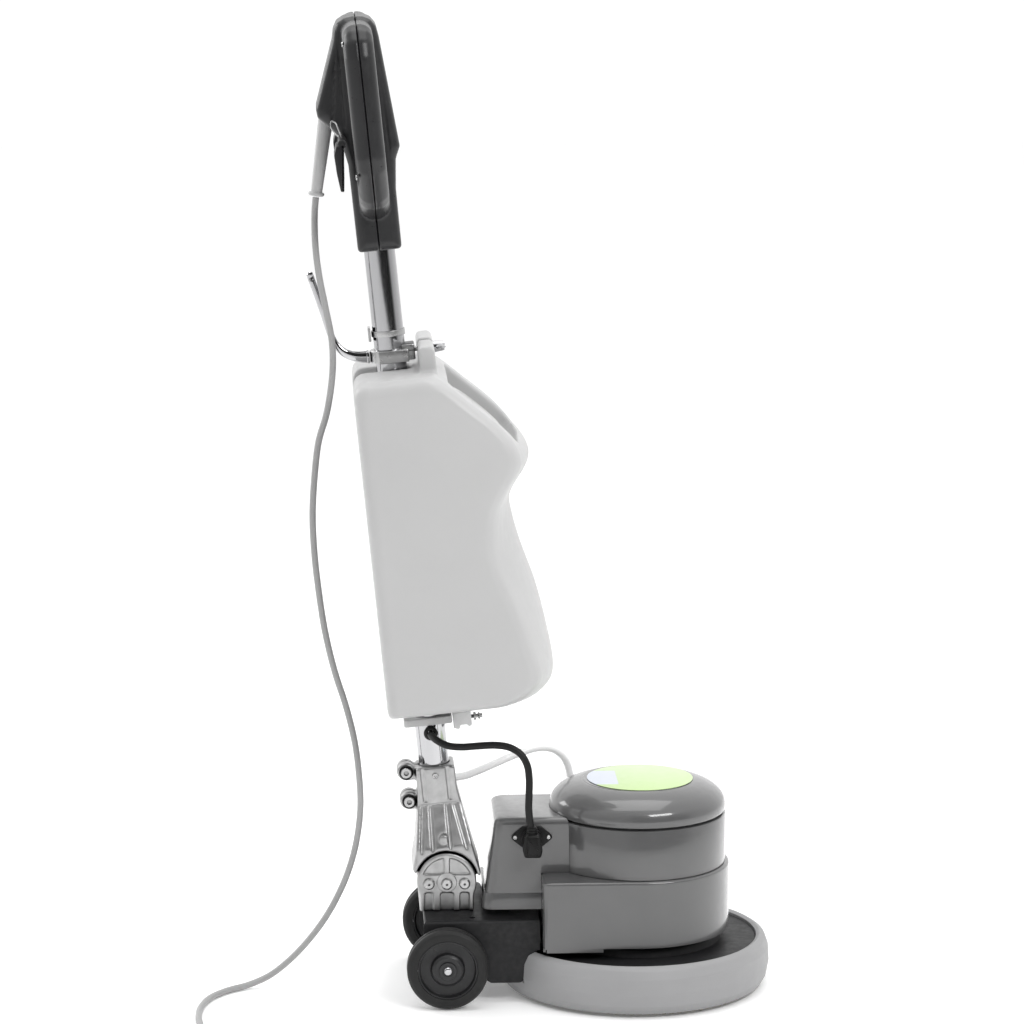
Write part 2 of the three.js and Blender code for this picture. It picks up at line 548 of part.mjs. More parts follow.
// ---------- solution tank ----------
// Front of the tank at mid-width and at its sides, each as [height, forward] points.
const tankFront = [[198, 58], [204, 105], [218, 138], [240, 157], [262, 160], [310, 155.5], [360, 147.5],
  [410, 134.5], [448, 127.5], [474, 126.5], [496, 138], [510, 150], [525, 156], [545, 147], [570, 124],
  [605, 88.5], [632, 61], [641, 49]];
const tankSide = [[198, 50], [204, 90], [218, 117], [240, 133], [262, 140], [310, 132], [360, 119],
  [410, 104], [448, 105], [474, 111], [496, 124], [510, 134], [525, 141], [545, 138], [570, 122],
  [605, 87], [632, 59], [641, 47]];

// The underside rises from the middle to both sides, less and less up the tank: [height, lift, rise].
const tankLifts = [[198, 7, 24], [204, 3, 22], [218, 2, 17], [240, 1, 9]];

function lifted(height, y) {
  const found = tankLifts.find(([low]) => low === height);
  if (!found) return height;
  return height + found[1] + (found[2] * Math.abs(y)) / 110;
}

function tankRing(i, wall) {
  const [height, front] = tankFront[i];
  const side = tankSide[i][1];
  const fromEnd = Math.min(height - TANK_BOTTOM, TANK_TOP - height);
  const corner = 20;
  const pull = fromEnd >= corner ? 0 : corner - Math.sqrt(corner ** 2 - (corner - fromEnd) ** 2);
  const half = TANK_HALF - pull * 0.75 - wall;
  const rear = TANK_REAR + pull * 0.6 + wall;
  const r = 16;
  const frontSide = side - wall;
  const frontArc = Array.from({ length: 7 }, (_, k) => {
    const y = (half - 12) * (k / 3 - 1);
    return [front - wall - (front - side) * (y / (half - 12)) ** 2, y];
  });
  const outline = [
    ...arc(rear + r, -half + r, r, 180, 270, 3),
    [frontSide - 14, -half], [frontSide - 5, -half + 4], ...frontArc, [frontSide - 5, half - 4],
    [frontSide - 14, half],
    ...arc(rear + r, half - r, r, 90, 180, 3), [rear, 25], [rear, -25]];
  return outline.map(([d, y]) => [d, y, lifted(height, y)]);
}

function tankLoft(wall) {
  const rings = tankFront.map((_, i) => tankRing(i, wall));
  if (wall === 0) return loft(rings, [30, 0, TANK_FOOT]);
  const inner = rings.slice(1, -1);
  const last = inner.length - 1;
  inner[0] = inner[0].map(([d, y, height]) => [d, y, height + wall]);
  inner[last] = inner[last].map(([d, y]) => [d, y, TANK_TOP - wall - 2]);
  return loft(inner, [30, 0, TANK_FOOT + wall + 2]);
}

// Filler trough in the tank's sloping top. Its own heights are square to the slope, 0 on the ridges.
const TROUGH_HALF = 88;
const TROUGH_FLOOR = -24;
const CAP_D = 103; // middle of the slope
const CAP_HEIGHT = 589.5;
const NECK_RADIUS = 34;
const NECK_TOP = -13;
const OUTLET_D = -6; // hose outlet under the tank, beside the tube
const OUTLET_Y = 37;
const SLOPE = 44; // degrees that the sloping top faces forward of up
const tilted = (manifold) => manifold.rotate([0, SLOPE, 0]).translate([CAP_D, 0, CAP_HEIGHT]);

function tank() {
  const channel = block(-80, 22, -CHANNEL_HALF, CHANNEL_HALF, 150, 700);
  const wallHalf = CHANNEL_HALF + TANK_WALL;
  const channelWall = block(-80, 22 + TANK_WALL, -wallHalf, wallHalf, 150, 700);
  const trough = tilted(block(-52, 58, -TROUGH_HALF, TROUGH_HALF, TROUGH_FLOOR, 60));
  const troughFloor = tilted(block(-56, 62, -TROUGH_HALF - 4, TROUGH_HALF + 4, TROUGH_FLOOR - 4, 60));
  const ridge = sideProfile([[33, 628], [53, 625], [53, 668], [50, 672], [36, 672], [33, 668]], -76, 76);
  const ridgeNotch = block(30, 60, -9, 9, 652, 680);
  const neck = tilted(cylinder('z', NECK_RADIUS, TROUGH_FLOOR - 6, NECK_TOP, [0, 0], ROUND));
  const neckBore = tilted(cylinder('z', NECK_RADIUS - 4, TROUGH_FLOOR - 36, 20, [0, 0], ROUND));
  const spout = cylinder('z', 3.2, 180, 230, [OUTLET_D, OUTLET_Y]);
  const outletTop = TANK_FOOT + 10;
  const outlet = turned([[3.2, outletTop], [3.2, 189], [8, 189], [9, outletTop]], OUTLET_D, OUTLET_Y,
    SMALL_ROUND);
  const outside = join(cut(tankLoft(0), trough), ridge, neck, outlet);
  const inside = cut(tankLoft(TANK_WALL), troughFloor, channelWall);
  add(handle, 'solution_tank', cut(outside, inside, channel, ridgeNotch, neckBore, spout), paleTank);
  const capLow = TROUGH_FLOOR + GAP;
  const capHigh = NECK_TOP + 4;
  const cap = turned([[0, capLow], [40, capLow], [40, capHigh - 2], [37, capHigh], [0, capHigh]]);
  const capRecess = cylinder('z', NECK_RADIUS + 0.6, TROUGH_FLOOR - 10, NECK_TOP + GAP, [0, 0], ROUND);
  add(handle, 'filler_cap', tilted(cut(cap, capRecess)), paleTank);
}

// ---------- tank clamp and cord hook ----------
function clamp() {
  const height = [CLAMP_HEIGHT - 7.5, CLAMP_HEIGHT + 7.5];
  const collar = cylinder('z', 25, ...height, [0, 0], ROUND);
  const front = block(0, 30, -13, 13, CLAMP_HEIGHT - 7.5, CLAMP_HEIGHT + 12);
  const ear = block(-15, 22, -27, -18, ...height);
  const bore = cylinder('z', TUBE_RADIUS + GAP, 600, 700, [0, 0], ROUND);
  const boltHole = cylinder('x', 3.8, 5, 60, [0, CLAMP_HEIGHT + 4]);
  const headPocket = cylinder('x', 7, 5, 24, [0, CLAMP_HEIGHT + 4]);
  add(handle, 'tank_clamp', cut(join(collar, front, ear), bore, boltHole, headPocket), steel);
  const bolt = join(cylinder('x', 3.4, 20.5, 66, [0, CLAMP_HEIGHT + 4]),
    cylinder('x', 6.5, 20.5, 23.5, [0, CLAMP_HEIGHT + 4]));
  add(handle, 'clamp_bolt', cut(bolt, cylinder('z', TUBE_RADIUS + GAP, 600, 700, [0, 0], ROUND)), steel);
  const wings = sideProfile([[54, 0], [57, -5], [66, -5], [68, 0], [66, 5], [57, 5]]
    .map(([d, rise]) => [d, CLAMP_HEIGHT + 4 + rise]), -14, 14);
  const boss = cylinder('x', 7, 53.4, 66, [0, CLAMP_HEIGHT + 4]);
  const thread = cylinder('x', 3.7, 40, 80, [0, CLAMP_HEIGHT + 4]);
  add(handle, 'wing_nut', cut(join(wings, boss), thread), steel);

  const hookRoute = [[-27.5, 0, 657], [-44, 0, 660], [-58, 0, 667], [-67, 0, 680], [-75, 0, 718],
    [-79.5, 0, 741], [-84.5, 0, 764]];
  const arm = rod(hookRoute, 4.6, 8, 18);
  const root = block(-29, -25.6, -9, 9, CLAMP_HEIGHT - 7, CLAMP_HEIGHT + 7);
  add(handle, 'cord_hook', join(arm, root), steel);
}

// ---------- handle head ----------
// Side outline of the middle housing, [forward, height], anticlockwise.
const spine = [[-26, HEAD_BOTTOM], [27, HEAD_BOTTOM], [27.5, 862], [31, 897], [37.5, 912], [26, 1046],
  [20, 1061], [8, 1067.5], [-10, 1067.5], [-23, 1060], [-29, 1046], [-58, 966], [-57, 955], [-33, 930],
  [-26.5, 895]];
// Front outline of the two grips and the bars that join them, [sideways, height], anticlockwise.
const loopHalf = [[29, HEAD_BOTTOM + 2], [33, 818], [60, 834], [134, 862], [154, 882], [166, 914],
  [168, 1036], [163, 1056], [149, HEAD_TOP - 2]];
const loop = [...loopHalf, ...mirrored(loopHalf)];
const windowHalf = [[53, 872], [124, 897], [131, 905], [132, 1022], [124, 1031], [60, 1034], [53, 1027]];

function headSolid(wall) {
  const depth = 18 - wall;
  const spineHalf = 49 - wall;
  const bevel = wall === 0 ? 9 : 7;
  const middle = sideProfile(inset(spine, wall), -spineHalf, spineHalf, wall === 0 ? 8 : 6);
  const windows = [windowHalf, mirrored(windowHalf)]
    .map((points) => frontProfile(inset(points, -wall), -30, 30));
  const loopSolid = cut(frontProfile(inset(loop, wall), -depth, depth, bevel), ...windows);
  return join(middle, loopSolid);
}

function head() {
  const tubeHole = cylinder('z', TUBE_RADIUS + GAP, 700, TUBE_TOP + 3, [0, 0], ROUND);
  const leverHoles = sides.map(([, side]) => cylinder('y', 3.3, side > 0 ? 40 : -60, side > 0 ? 60 : -40,
    [LEVER_PIVOT_D, LEVER_PIVOT_HEIGHT]));
  const cordHole = cylinder('z', 7.5, 930, 975, [CORD_GLAND_D, 0]);
  const buttonHole = tiltedButton(cylinder('z', 11.5, -20, 20, [0, 0], 28));
  const whole = cut(headSolid(0), headSolid(WALL), tubeHole, ...leverHoles, cordHole, buttonHole);
  const front = block(GAP / 2, 100, -200, 200, 700, 1200);
  const rear = block(-100, -GAP / 2, -200, 200, 700, 1200);
  add(handle, 'head_shell_front', whole.intersect(front), blackPlastic);
  add(handle, 'head_shell_rear', whole.intersect(rear), blackPlastic);
  add(handle, 'switch_module', block(-24, 14, -34, 34, 992, 1034), blackPlastic);
}

const tiltedButton = (manifold) => manifold.rotate([0, BUTTON_ANGLE, 0]).translate([-41.4, 0, 1005]);

function controls() {
  for (const [name, side] of sides) {
    const span = (from, to) => (side > 0 ? [from, to] : [-to, -from]);
    const barrel = cylinder('y', 5, ...span(49.6, 118), [LEVER_PIVOT_D, LEVER_PIVOT_HEIGHT]);
    const stub = cylinder('y', 3, ...span(44, 50), [LEVER_PIVOT_D, LEVER_PIVOT_HEIGHT]);
    const blade = [[-35, 928], [-39, 866], [-36.5, 860], [-33, 866], [-28.5, 928]];
    const paddle = sideProfile(blade, ...span(58, 118));
    add(handle, `switch_lever_${name}`, join(barrel, stub, paddle), blackPlastic);
  }
  const button = tiltedButton(turned([[0, -4], [11, -4], [11, 3.5], [9.5, 5], [0, 5]], 0, 0, 28));
  add(handle, 'lock_button', button, blackPlastic);
}

function strainRelief() {
  const top = new THREE.Vector3(-47.5, 0, 950);
  const end = new THREE.Vector3(-69.2, 0, 858.5);
  const length = top.distanceTo(end);
  const lean = Math.atan2(top.x - end.x, top.z - end.z) / degrees;
  const sleeve = turned([[CORD_RADIUS + GAP, 0], [9, 0], [9.5, 3], [8.6, 6.5], [7, 7.5], [9.2, length],
    [CORD_RADIUS + GAP, length]], 0, 0, SMALL_ROUND);
  const placed = sleeve.rotate([0, lean, 0]).translate([end.x, end.y, end.z]);
  const headSpace = headSolid(-GAP);
  add(handle, 'strain_relief', cut(placed, headSpace), greyCord);
}

// ---------- mains cord: free stretch, stored coil and plug ----------
const coilRadius = COIL_MEAN_RADIUS + COIL_COLUMNS * CORD_RADIUS;
const coilInner = COIL_MEAN_RADIUS - COIL_COLUMNS * CORD_RADIUS;
const coilTop = COIL_LIFT + COIL_LAYERS * 2 * CORD_RADIUS;

function mainsCord() {
  const cordRoute = [[-389.9, 0, 988.2], [-391.6, -2, 968], [-391, -7, 930], [-387, -10, 895],
    [-378.5, -10.5, 850], [-372, -10.5, 813.8], [-371.6, -10, 775], [-379, -7, 725], [-389, -4, 690],
    [-395, 0, 640], [-397.3, 0, 595], [-395.5, 0, 550], [-391, 0, 505], [-383, 0, 450], [-371.5, 0, 400],
    [-358, 0, 356], [-347.5, 0, 310], [-342, 0, 260], [-341.4, 0, 225], [-346.5, 0, 184], [-355.5, 0, 150],
    [-368, 0, 119], [-385.5, 0, 87], [-407, -1, 58], [-431, -3, 33], [-456, -7, 14.5], [-482, -16, 5.6],
    [-508, -34, 4.2], [-528, -62, 4.2], [-539, -100, 4.2], [-541, -145, 4.2], [-535, -195, 4.2],
    [-524, -245, 4.2], [-513, -295, 4.2], [-506, -340, 4.6], [-504.6, -366, 5.2], [-504.2, -387.5, 5.6]];
  add(machine, 'mains_cord', rod(cordRoute, CORD_RADIUS, 8, 58), greyCord);
  const coil = turned(ringOutline(coilInner, coilRadius, COIL_LIFT, coilTop), ...COIL_CENTRE, 32);
  add(machine, 'cord_coil', coil, greyCord);
  plug();
}

// The plug lies beside the coil, in line with the outermost turn.
const PLUG_X = COIL_CENTRE[0] + 47; // rear face of the plug, where the cord goes in
const PLUG_Y = COIL_CENTRE[1] - COIL_MEAN_RADIUS - (COIL_COLUMNS - 1) * CORD_RADIUS;
const PLUG_Z = 19;

function plug() {
  const body = join(cylinder('x', 9, PLUG_X, PLUG_X + 22, [PLUG_Y, PLUG_Z]),
    cylinder('x', 18.7, PLUG_X + 20, PLUG_X + 52, [PLUG_Y, PLUG_Z], 32));
  const pins = sides.map(([, side]) => cylinder('x', 2.4, PLUG_X + 50, PLUG_X + 71,
    [PLUG_Y + side * 9.5, PLUG_Z]));
  add(machine, 'mains_plug', join(body, ...pins), blackRubber);
}

deck();
brush();
gearbox();
motor();
housings();
electricsBox();
inlet();
leads();
rearFrame();
wheels();
hingeBlock();
yoke();
tube();
tankFoot();
tank();
clamp();
head();
controls();
strainRelief();
mainsCord();

export default machine;
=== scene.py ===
import json
import math
import random

import bmesh
import bpy
import numpy as np
from mathutils import Matrix, Vector


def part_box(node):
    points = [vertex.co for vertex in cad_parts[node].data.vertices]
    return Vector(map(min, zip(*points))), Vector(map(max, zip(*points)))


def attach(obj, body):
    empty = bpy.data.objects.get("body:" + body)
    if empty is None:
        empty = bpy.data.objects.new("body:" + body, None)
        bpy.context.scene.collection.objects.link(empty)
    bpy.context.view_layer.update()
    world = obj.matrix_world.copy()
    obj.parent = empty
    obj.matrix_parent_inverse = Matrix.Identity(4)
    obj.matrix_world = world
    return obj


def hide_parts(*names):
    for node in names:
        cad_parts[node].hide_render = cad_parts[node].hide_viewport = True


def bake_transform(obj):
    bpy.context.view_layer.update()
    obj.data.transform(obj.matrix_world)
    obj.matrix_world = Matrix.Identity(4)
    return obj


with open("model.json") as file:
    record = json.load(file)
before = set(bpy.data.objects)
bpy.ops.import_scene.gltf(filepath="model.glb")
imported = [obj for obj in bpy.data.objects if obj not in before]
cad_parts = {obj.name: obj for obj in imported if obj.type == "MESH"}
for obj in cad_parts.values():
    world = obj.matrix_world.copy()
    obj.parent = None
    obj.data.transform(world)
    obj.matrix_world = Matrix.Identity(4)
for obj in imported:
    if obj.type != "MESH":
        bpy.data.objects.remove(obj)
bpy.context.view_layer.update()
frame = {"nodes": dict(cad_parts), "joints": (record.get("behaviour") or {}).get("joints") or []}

# Shapes are drawn in millimetres in two spaces taken from the frame. MACHINE stands on the floor under
# the middle of the bumper ring, and HANDLE has its origin on the hinge and its third axis up the tube.
MM = 0.001
LEAN = math.radians(5.7)
JOINTS = {joint["name"]: joint for joint in frame["joints"]}
RING_X = (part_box("bumper_ring")[0].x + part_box("bumper_ring")[1].x) / 2
PIVOT = Vector(JOINTS["handle_tilt"]["pos_m"])
MACHINE = Matrix.Translation((RING_X, 0, 0)) @ Matrix.Scale(MM, 4)
HANDLE = Matrix.Translation(PIVOT) @ Matrix.Rotation(-LEAN, 4, "Y") @ Matrix.Scale(MM, 4)
SIDES = (("left", 1), ("right", -1))
ON_HANDLE = ("handle", "lever_left", "lever_right", "button", "nut", "tank_cap")
random.seed(7)

# Sizes that several pieces share, as in the CAD source.
GAP = 0.3
MOTOR_X = 4
MOTOR_RADIUS = 110
BELT_RADIUS = 115
BELT_TOP = 158
BELT_REAR = -119.5
FRAME_TOP = 105
FRAME_HALF = 91
PIVOT_X = (PIVOT.x - RING_X) / MM
PIVOT_Z = PIVOT.z / MM
HUB_RADIUS = 37
HUB_INNER = 31
HUB_OUTER = 45
WHEEL_X = -237
WHEEL_Z = 51.5
WHEEL_MIDDLE = 109.5
TUBE_RADIUS = 19
INLET_X = -131.5
INLET_Z = 204.5
INLET_FACE = -65.2
GROMMET_HEIGHT = 185
CLAMP_HEIGHT = 657
BOLT_RISE = 4
TANK_BOTTOM = 198
TANK_TOP = 641
CORD_RADIUS = 4
LEAD_RADIUS = 4.5
HOSE_RADIUS = 5
CUTTER_EDGE = 0.1
MOTOR_AXIS = (MOTOR_X, 0, 0)
HINGE = (PIVOT_X, 0, PIVOT_Z)
AXLE = (WHEEL_X, 0, WHEEL_Z)


# ---------- solids ----------
def arc(cx, cy, radius, start, end, steps):
    """Points on an arc, angles in degrees."""
    angles = [math.radians(start + (end - start) * i / steps) for i in range(steps + 1)]
    return [(cx + radius * math.cos(a), cy + radius * math.sin(a)) for a in angles]


def mirrored(points):
    return [(-a, b) for a, b in reversed(points)]


def rounded(points, radius, steps=4):
    """A closed outline with each corner turned into an arc; radius is one number, or one for each point."""
    count = len(points)
    radii = radius if hasattr(radius, "__len__") else [radius] * count
    made = []
    for i, corner in enumerate(points):
        corner = Vector(corner)
        back = Vector(points[i - 1]) - corner
        ahead = Vector(points[(i + 1) % count]) - corner
        half = back.angle(ahead, math.pi) / 2
        if radii[i] <= 0 or half > math.radians(88) or half < math.radians(2):
            made.append(tuple(corner))
            continue
        reach = min(radii[i] / math.tan(half), 0.48 * back.length, 0.48 * ahead.length)
        start = corner + back.normalized() * reach
        end = corner + ahead.normalized() * reach
        for k in range(steps + 1):
            t = k / steps
            made.append(tuple(start.lerp(corner, t).lerp(corner.lerp(end, t), t)))
    return made


def closed(bm):
    bmesh.ops.remove_doubles(bm, verts=bm.verts, dist=1e-3)
    bmesh.ops.recalc_face_normals(bm, faces=bm.faces)
    return bm


AXES = {
    "x": lambda a, b, t: Vector((t, a, b)),
    "y": lambda a, b, t: Vector((a, t, b)),
    "z": lambda a, b, t: Vector((a, b, t)),
}


def strips(bm, rings, around=True):
    """Quads between neighbouring rings of vertices."""
    for ring, after in zip(rings, rings[1:]):
        count = len(ring)
        for i in range(count if around else count - 1):
            j = (i + 1) % count
            bm.faces.new((ring[i], ring[j], after[j], after[i]))


def prism(outline, low, high, axis):
    """An outline of [x, z], [y, z] or [x, y] points given a thickness along y, x or z."""
    bm = bmesh.new()
    rings = [[bm.verts.new(AXES[axis](a, b, t)) for a, b in outline] for t in (low, high)]
    strips(bm, rings)
    bm.faces.new(rings[0])
    bm.faces.new(rings[1])
    return closed(bm)


def block(x0, x1, y0, y1, z0, z1):
    return prism([(x0, y0), (x1, y0), (x1, y1), (x0, y1)], z0, z1, "z")


def lathe(outline, axis="z", centre=(0, 0, 0), segments=72):
    """A closed outline of [radius, along] points turned round an axis."""
    bm = bmesh.new()
    turns = [2 * math.pi * i / segments for i in range(segments)]
    rings = [
        [bm.verts.new(AXES[axis](r * math.cos(a), r * math.sin(a), t) + Vector(centre)) for a in turns]
        for r, t in outline
    ]
    strips(bm, rings + rings[:1])
    return closed(bm)


def rod(radius, low, high, axis="z", centre=(0, 0, 0), edge=0.6, segments=48):
    """A round bar with softened ends."""
    outline = [(0, low), (radius - edge, low), (radius, low + edge), (radius, high - edge),
               (radius - edge, high), (0, high)]
    return lathe(outline, axis, centre, segments)


def cutter(radius, low, high, axis="z", centre=(0, 0, 0), segments=48):
    """A round bar with nearly square ends, to bore with."""
    return rod(radius, low, high, axis, centre, CUTTER_EDGE, segments)


def tube_bore(low, high):
    return cutter(TUBE_RADIUS + GAP, low, high, segments=80)


def on_side(profile, side, centre, segments=48):
    """A profile of [radius, distance out] turned round a crosswise axis, on the left or the right."""
    return lathe([(r, side * t) for r, t in profile], "y", centre, segments)


def span(side, start, end):
    """A stretch across the machine, lowest end first, given as distances out."""
    return sorted((side * start, side * end))


def loft(rings):
    bm = bmesh.new()
    made = [[bm.verts.new(p) for p in ring] for ring in rings]
    strips(bm, made)
    bm.faces.new(made[0])
    bm.faces.new(made[-1])
    return closed(bm)


def smooth_path(points, spacing):
    """Points about spacing apart on a centripetal Catmull-Rom curve through the given ones."""
    p = [Vector(q) for q in points]
    p = [2 * p[0] - p[1]] + p + [2 * p[-1] - p[-2]]
    made = []
    for a, b, c, d in zip(p, p[1:], p[2:], p[3:]):
        ta = 0.0
        tb = ta + (b - a).length ** 0.5
        tc = tb + (c - b).length ** 0.5
        td = tc + (d - c).length ** 0.5
        steps = max(1, math.ceil((c - b).length / spacing))
        for k in range(steps):
            t = tb + (tc - tb) * k / steps
            ab = a.lerp(b, (t - ta) / (tb - ta))
            bc = b.lerp(c, (t - tb) / (tc - tb))
            cd = c.lerp(d, (t - tc) / (td - tc))
            abc = ab.lerp(bc, (t - ta) / (tc - ta))
            bcd = bc.lerp(cd, (t - tb) / (td - tb))
            made.append(abc.lerp(bcd, (t - tb) / (tc - tb)))
    return made + [p[-2]]


def sweep(path, radius, sides=16, across=None):
    """A closed tube along points. radius and across, its other half width, are numbers or functions of the
    share along; across lies in the plane of the path's bend."""
    bm = bmesh.new()
    path = [Vector(p) for p in path]
    last = len(path) - 1
    side = None
    rings = []
    for i, point in enumerate(path):
        tangent = (path[min(i + 1, last)] - path[max(i - 1, 0)]).normalized()
        if side is None:
            side = Vector((0, 1, 0)) if abs(tangent.y) < 0.9 else Vector((1, 0, 0))
        side = (side - tangent * side.dot(tangent)).normalized()
        other = tangent.cross(side)
        share = i / last
        first = radius(share) if callable(radius) else radius
        second = first if across is None else across(share) if callable(across) else across
        turns = [2 * math.pi * k / sides for k in range(sides)]
        rings.append([bm.verts.new(point + side * (first * math.cos(a)) + other * (second * math.sin(a)))
                      for a in turns])
    strips(bm, rings)
    bm.faces.new(rings[0])
    bm.faces.new(rings[-1])
    bmesh.ops.recalc_face_normals(bm, faces=bm.faces)
    return bm


def inset(points, distance):
    """Each corner of an anticlockwise outline moved inwards by a distance, or outwards by a negative one."""
    made = []
    for i, corner in enumerate(points):
        corner = Vector(corner)
        back = (corner - Vector(points[i - 1])).normalized()
        ahead = (Vector(points[(i + 1) % len(points)]) - corner).normalized()
        first, second = Vector((-back.y, back.x)), Vector((-ahead.y, ahead.x))
        made.append(tuple(corner + (first + second) * (distance / max(0.35, 1 + first.dot(second)))))
    return made


def pillow(outline, low, high, axis, radius, steps=5, corner=0.0):
    """A prism with rounded rims, or flared ones for a negative radius, and upright edges rounded by corner."""
    size = abs(radius)
    turns = [math.pi / 2 * i / steps for i in range(steps + 1)]
    levels = [(low + size * (1 - math.sin(a)), radius * (1 - math.cos(a))) for a in reversed(turns)]
    levels += [(high - size * (1 - math.sin(a)), radius * (1 - math.cos(a))) for a in turns]
    rings = []
    for t, gap in levels:
        ring = inset(outline, gap)
        if corner:
            ring = rounded(ring, max(corner - gap, 0.4))
        rings.append([AXES[axis](a, b, t) for a, b in ring])
    return loft(rings)


def merged(*parts):
    """Several solids as one mesh, not joined to each other."""
    whole = bmesh.new()
    for part in parts:
        mesh = bpy.data.meshes.new("part")
        part.to_mesh(mesh)
        part.free()
        whole.from_mesh(mesh)
        bpy.data.meshes.remove(mesh)
    return whole


def work_object(bm):
    mesh = bpy.data.meshes.new("work")
    bm.to_mesh(mesh)
    bm.free()
    obj = bpy.data.objects.new("work", mesh)
    bpy.context.scene.collection.objects.link(obj)
    return obj


def evaluated(obj, *leftovers):
    bpy.context.view_layer.update()
    made = bmesh.new()
    made.from_object(obj, bpy.context.evaluated_depsgraph_get())
    for used in (obj, *leftovers):
        mesh = used.data
        bpy.data.objects.remove(used)
        bpy.data.meshes.remove(mesh)
    return made


def combine(how, first, *others):
    """UNION, DIFFERENCE or INTERSECT of solids."""
    obj = work_object(first)
    tools = [work_object(other) for other in others]
    for tool in tools:
        step = obj.modifiers.new("cut", "BOOLEAN")
        step.operation = how
        step.object = tool
        step.solver = "EXACT"
    return evaluated(obj, *tools)


def cast(bm, voxel, passes):
    """The solid as a moulding: one skin with every edge softened."""
    obj = work_object(bm)
    skin = obj.modifiers.new("skin", "REMESH")
    skin.mode = "VOXEL"
    skin.voxel_size = voxel
    soft = obj.modifiers.new("soft", "SMOOTH")
    soft.factor = 0.5
    soft.iterations = passes
    return evaluated(obj)


def turned(bm, angle, axis, about=(0, 0, 0)):
    spin = Matrix.Rotation(math.radians(angle), 3, axis)
    bmesh.ops.rotate(bm, verts=bm.verts, cent=Vector(about), matrix=spin)
    return bm


def moved(bm, offset):
    bmesh.ops.translate(bm, verts=bm.verts, vec=Vector(offset))
    return bm


def screw(radius, height, centre, axis, way, recess=0.5, segments=40):
    """A domed screw head with a round driver recess. way is 1 or -1 along the axis."""
    profile = [(0, -0.5), (radius, -0.5), (radius, height * 0.45), (radius * 0.92, height * 0.75),
               (radius * 0.72, height), (radius * recess, height), (radius * recess * 0.9, height * 0.35),
               (0, height * 0.35)]
    return lathe([(r, way * t) for r, t in profile], axis, centre, segments)


def hexagon(radius, low, high, axis, centre):
    """A hexagon nut with a chamfered rim."""
    outline = [(radius - 1, low), (radius, low + 0.8), (radius, high - 0.8), (radius - 1, high), (0, high),
               (0, low)]
    return lathe(outline, axis, centre, 6)


# ---------- materials ----------
def node(tree, kind, values=None, **settings):
    made = tree.nodes.new(kind)
    for key, value in settings.items():
        setattr(made, key, value)
    for key, value in (values or {}).items():
        made.inputs[key].default_value = value
    return made


def noise(tree, scale, detail=4.0, stretch=(1, 1, 1), tilt=0.0):
    """A noise texture's output over the piece's own coordinates, in metres."""
    place = node(tree, "ShaderNodeTexCoord")
    bend = node(tree, "ShaderNodeMapping", {"Scale": stretch, "Rotation": (0, tilt, 0)})
    grain = node(tree, "ShaderNodeTexNoise", {"Scale": scale, "Detail": detail, "Roughness": 0.6})
    tree.links.new(place.outputs["Object"], bend.inputs["Vector"])
    tree.links.new(bend.outputs["Vector"], grain.inputs["Vector"])
    return grain.outputs["Fac"]


def ranged(tree, source, start, end, low, high, **settings):
    """A value between start and end as one between low and high."""
    limits = {"From Min": start, "From Max": end, "To Min": low, "To Max": high}
    made = node(tree, "ShaderNodeMapRange", limits, **settings)
    tree.links.new(source, made.inputs["Value"])
    return made.outputs["Result"]


def maths(tree, operation, *sources):
    made = node(tree, "ShaderNodeMath", operation=operation)
    for source, socket in zip(sources, made.inputs):
        tree.links.new(source, socket)
    return made.outputs[0]


def spread(tree, grain, low, high):
    """A noise texture's usual range stretched to low and high."""
    return ranged(tree, grain, 0.3, 0.7, low, high)


def blended(tree, factor, first, second):
    """A colour mix; first and second are colours or sockets."""
    mix = node(tree, "ShaderNodeMix", data_type="RGBA")
    tree.links.new(factor, mix.inputs["Factor"])
    for value, socket in ((first, mix.inputs[6]), (second, mix.inputs[7])):
        if isinstance(value, bpy.types.NodeSocket):
            tree.links.new(value, socket)
        else:
            socket.default_value = (*value, 1)
    return mix.outputs[2]


# Pointiness of a worn edge, openness and reach of a hollow darkened with painted shade and grime, and the
# colour of that painted shade and grime.
WORN_EDGE = (0.52, 0.62)
SHADED_GRIMY_HOLLOW = (0.2, 0.62)
SHADE_AND_GRIME_REACH = 0.007
SHADE_AND_GRIME = (0.02, 0.02, 0.02)


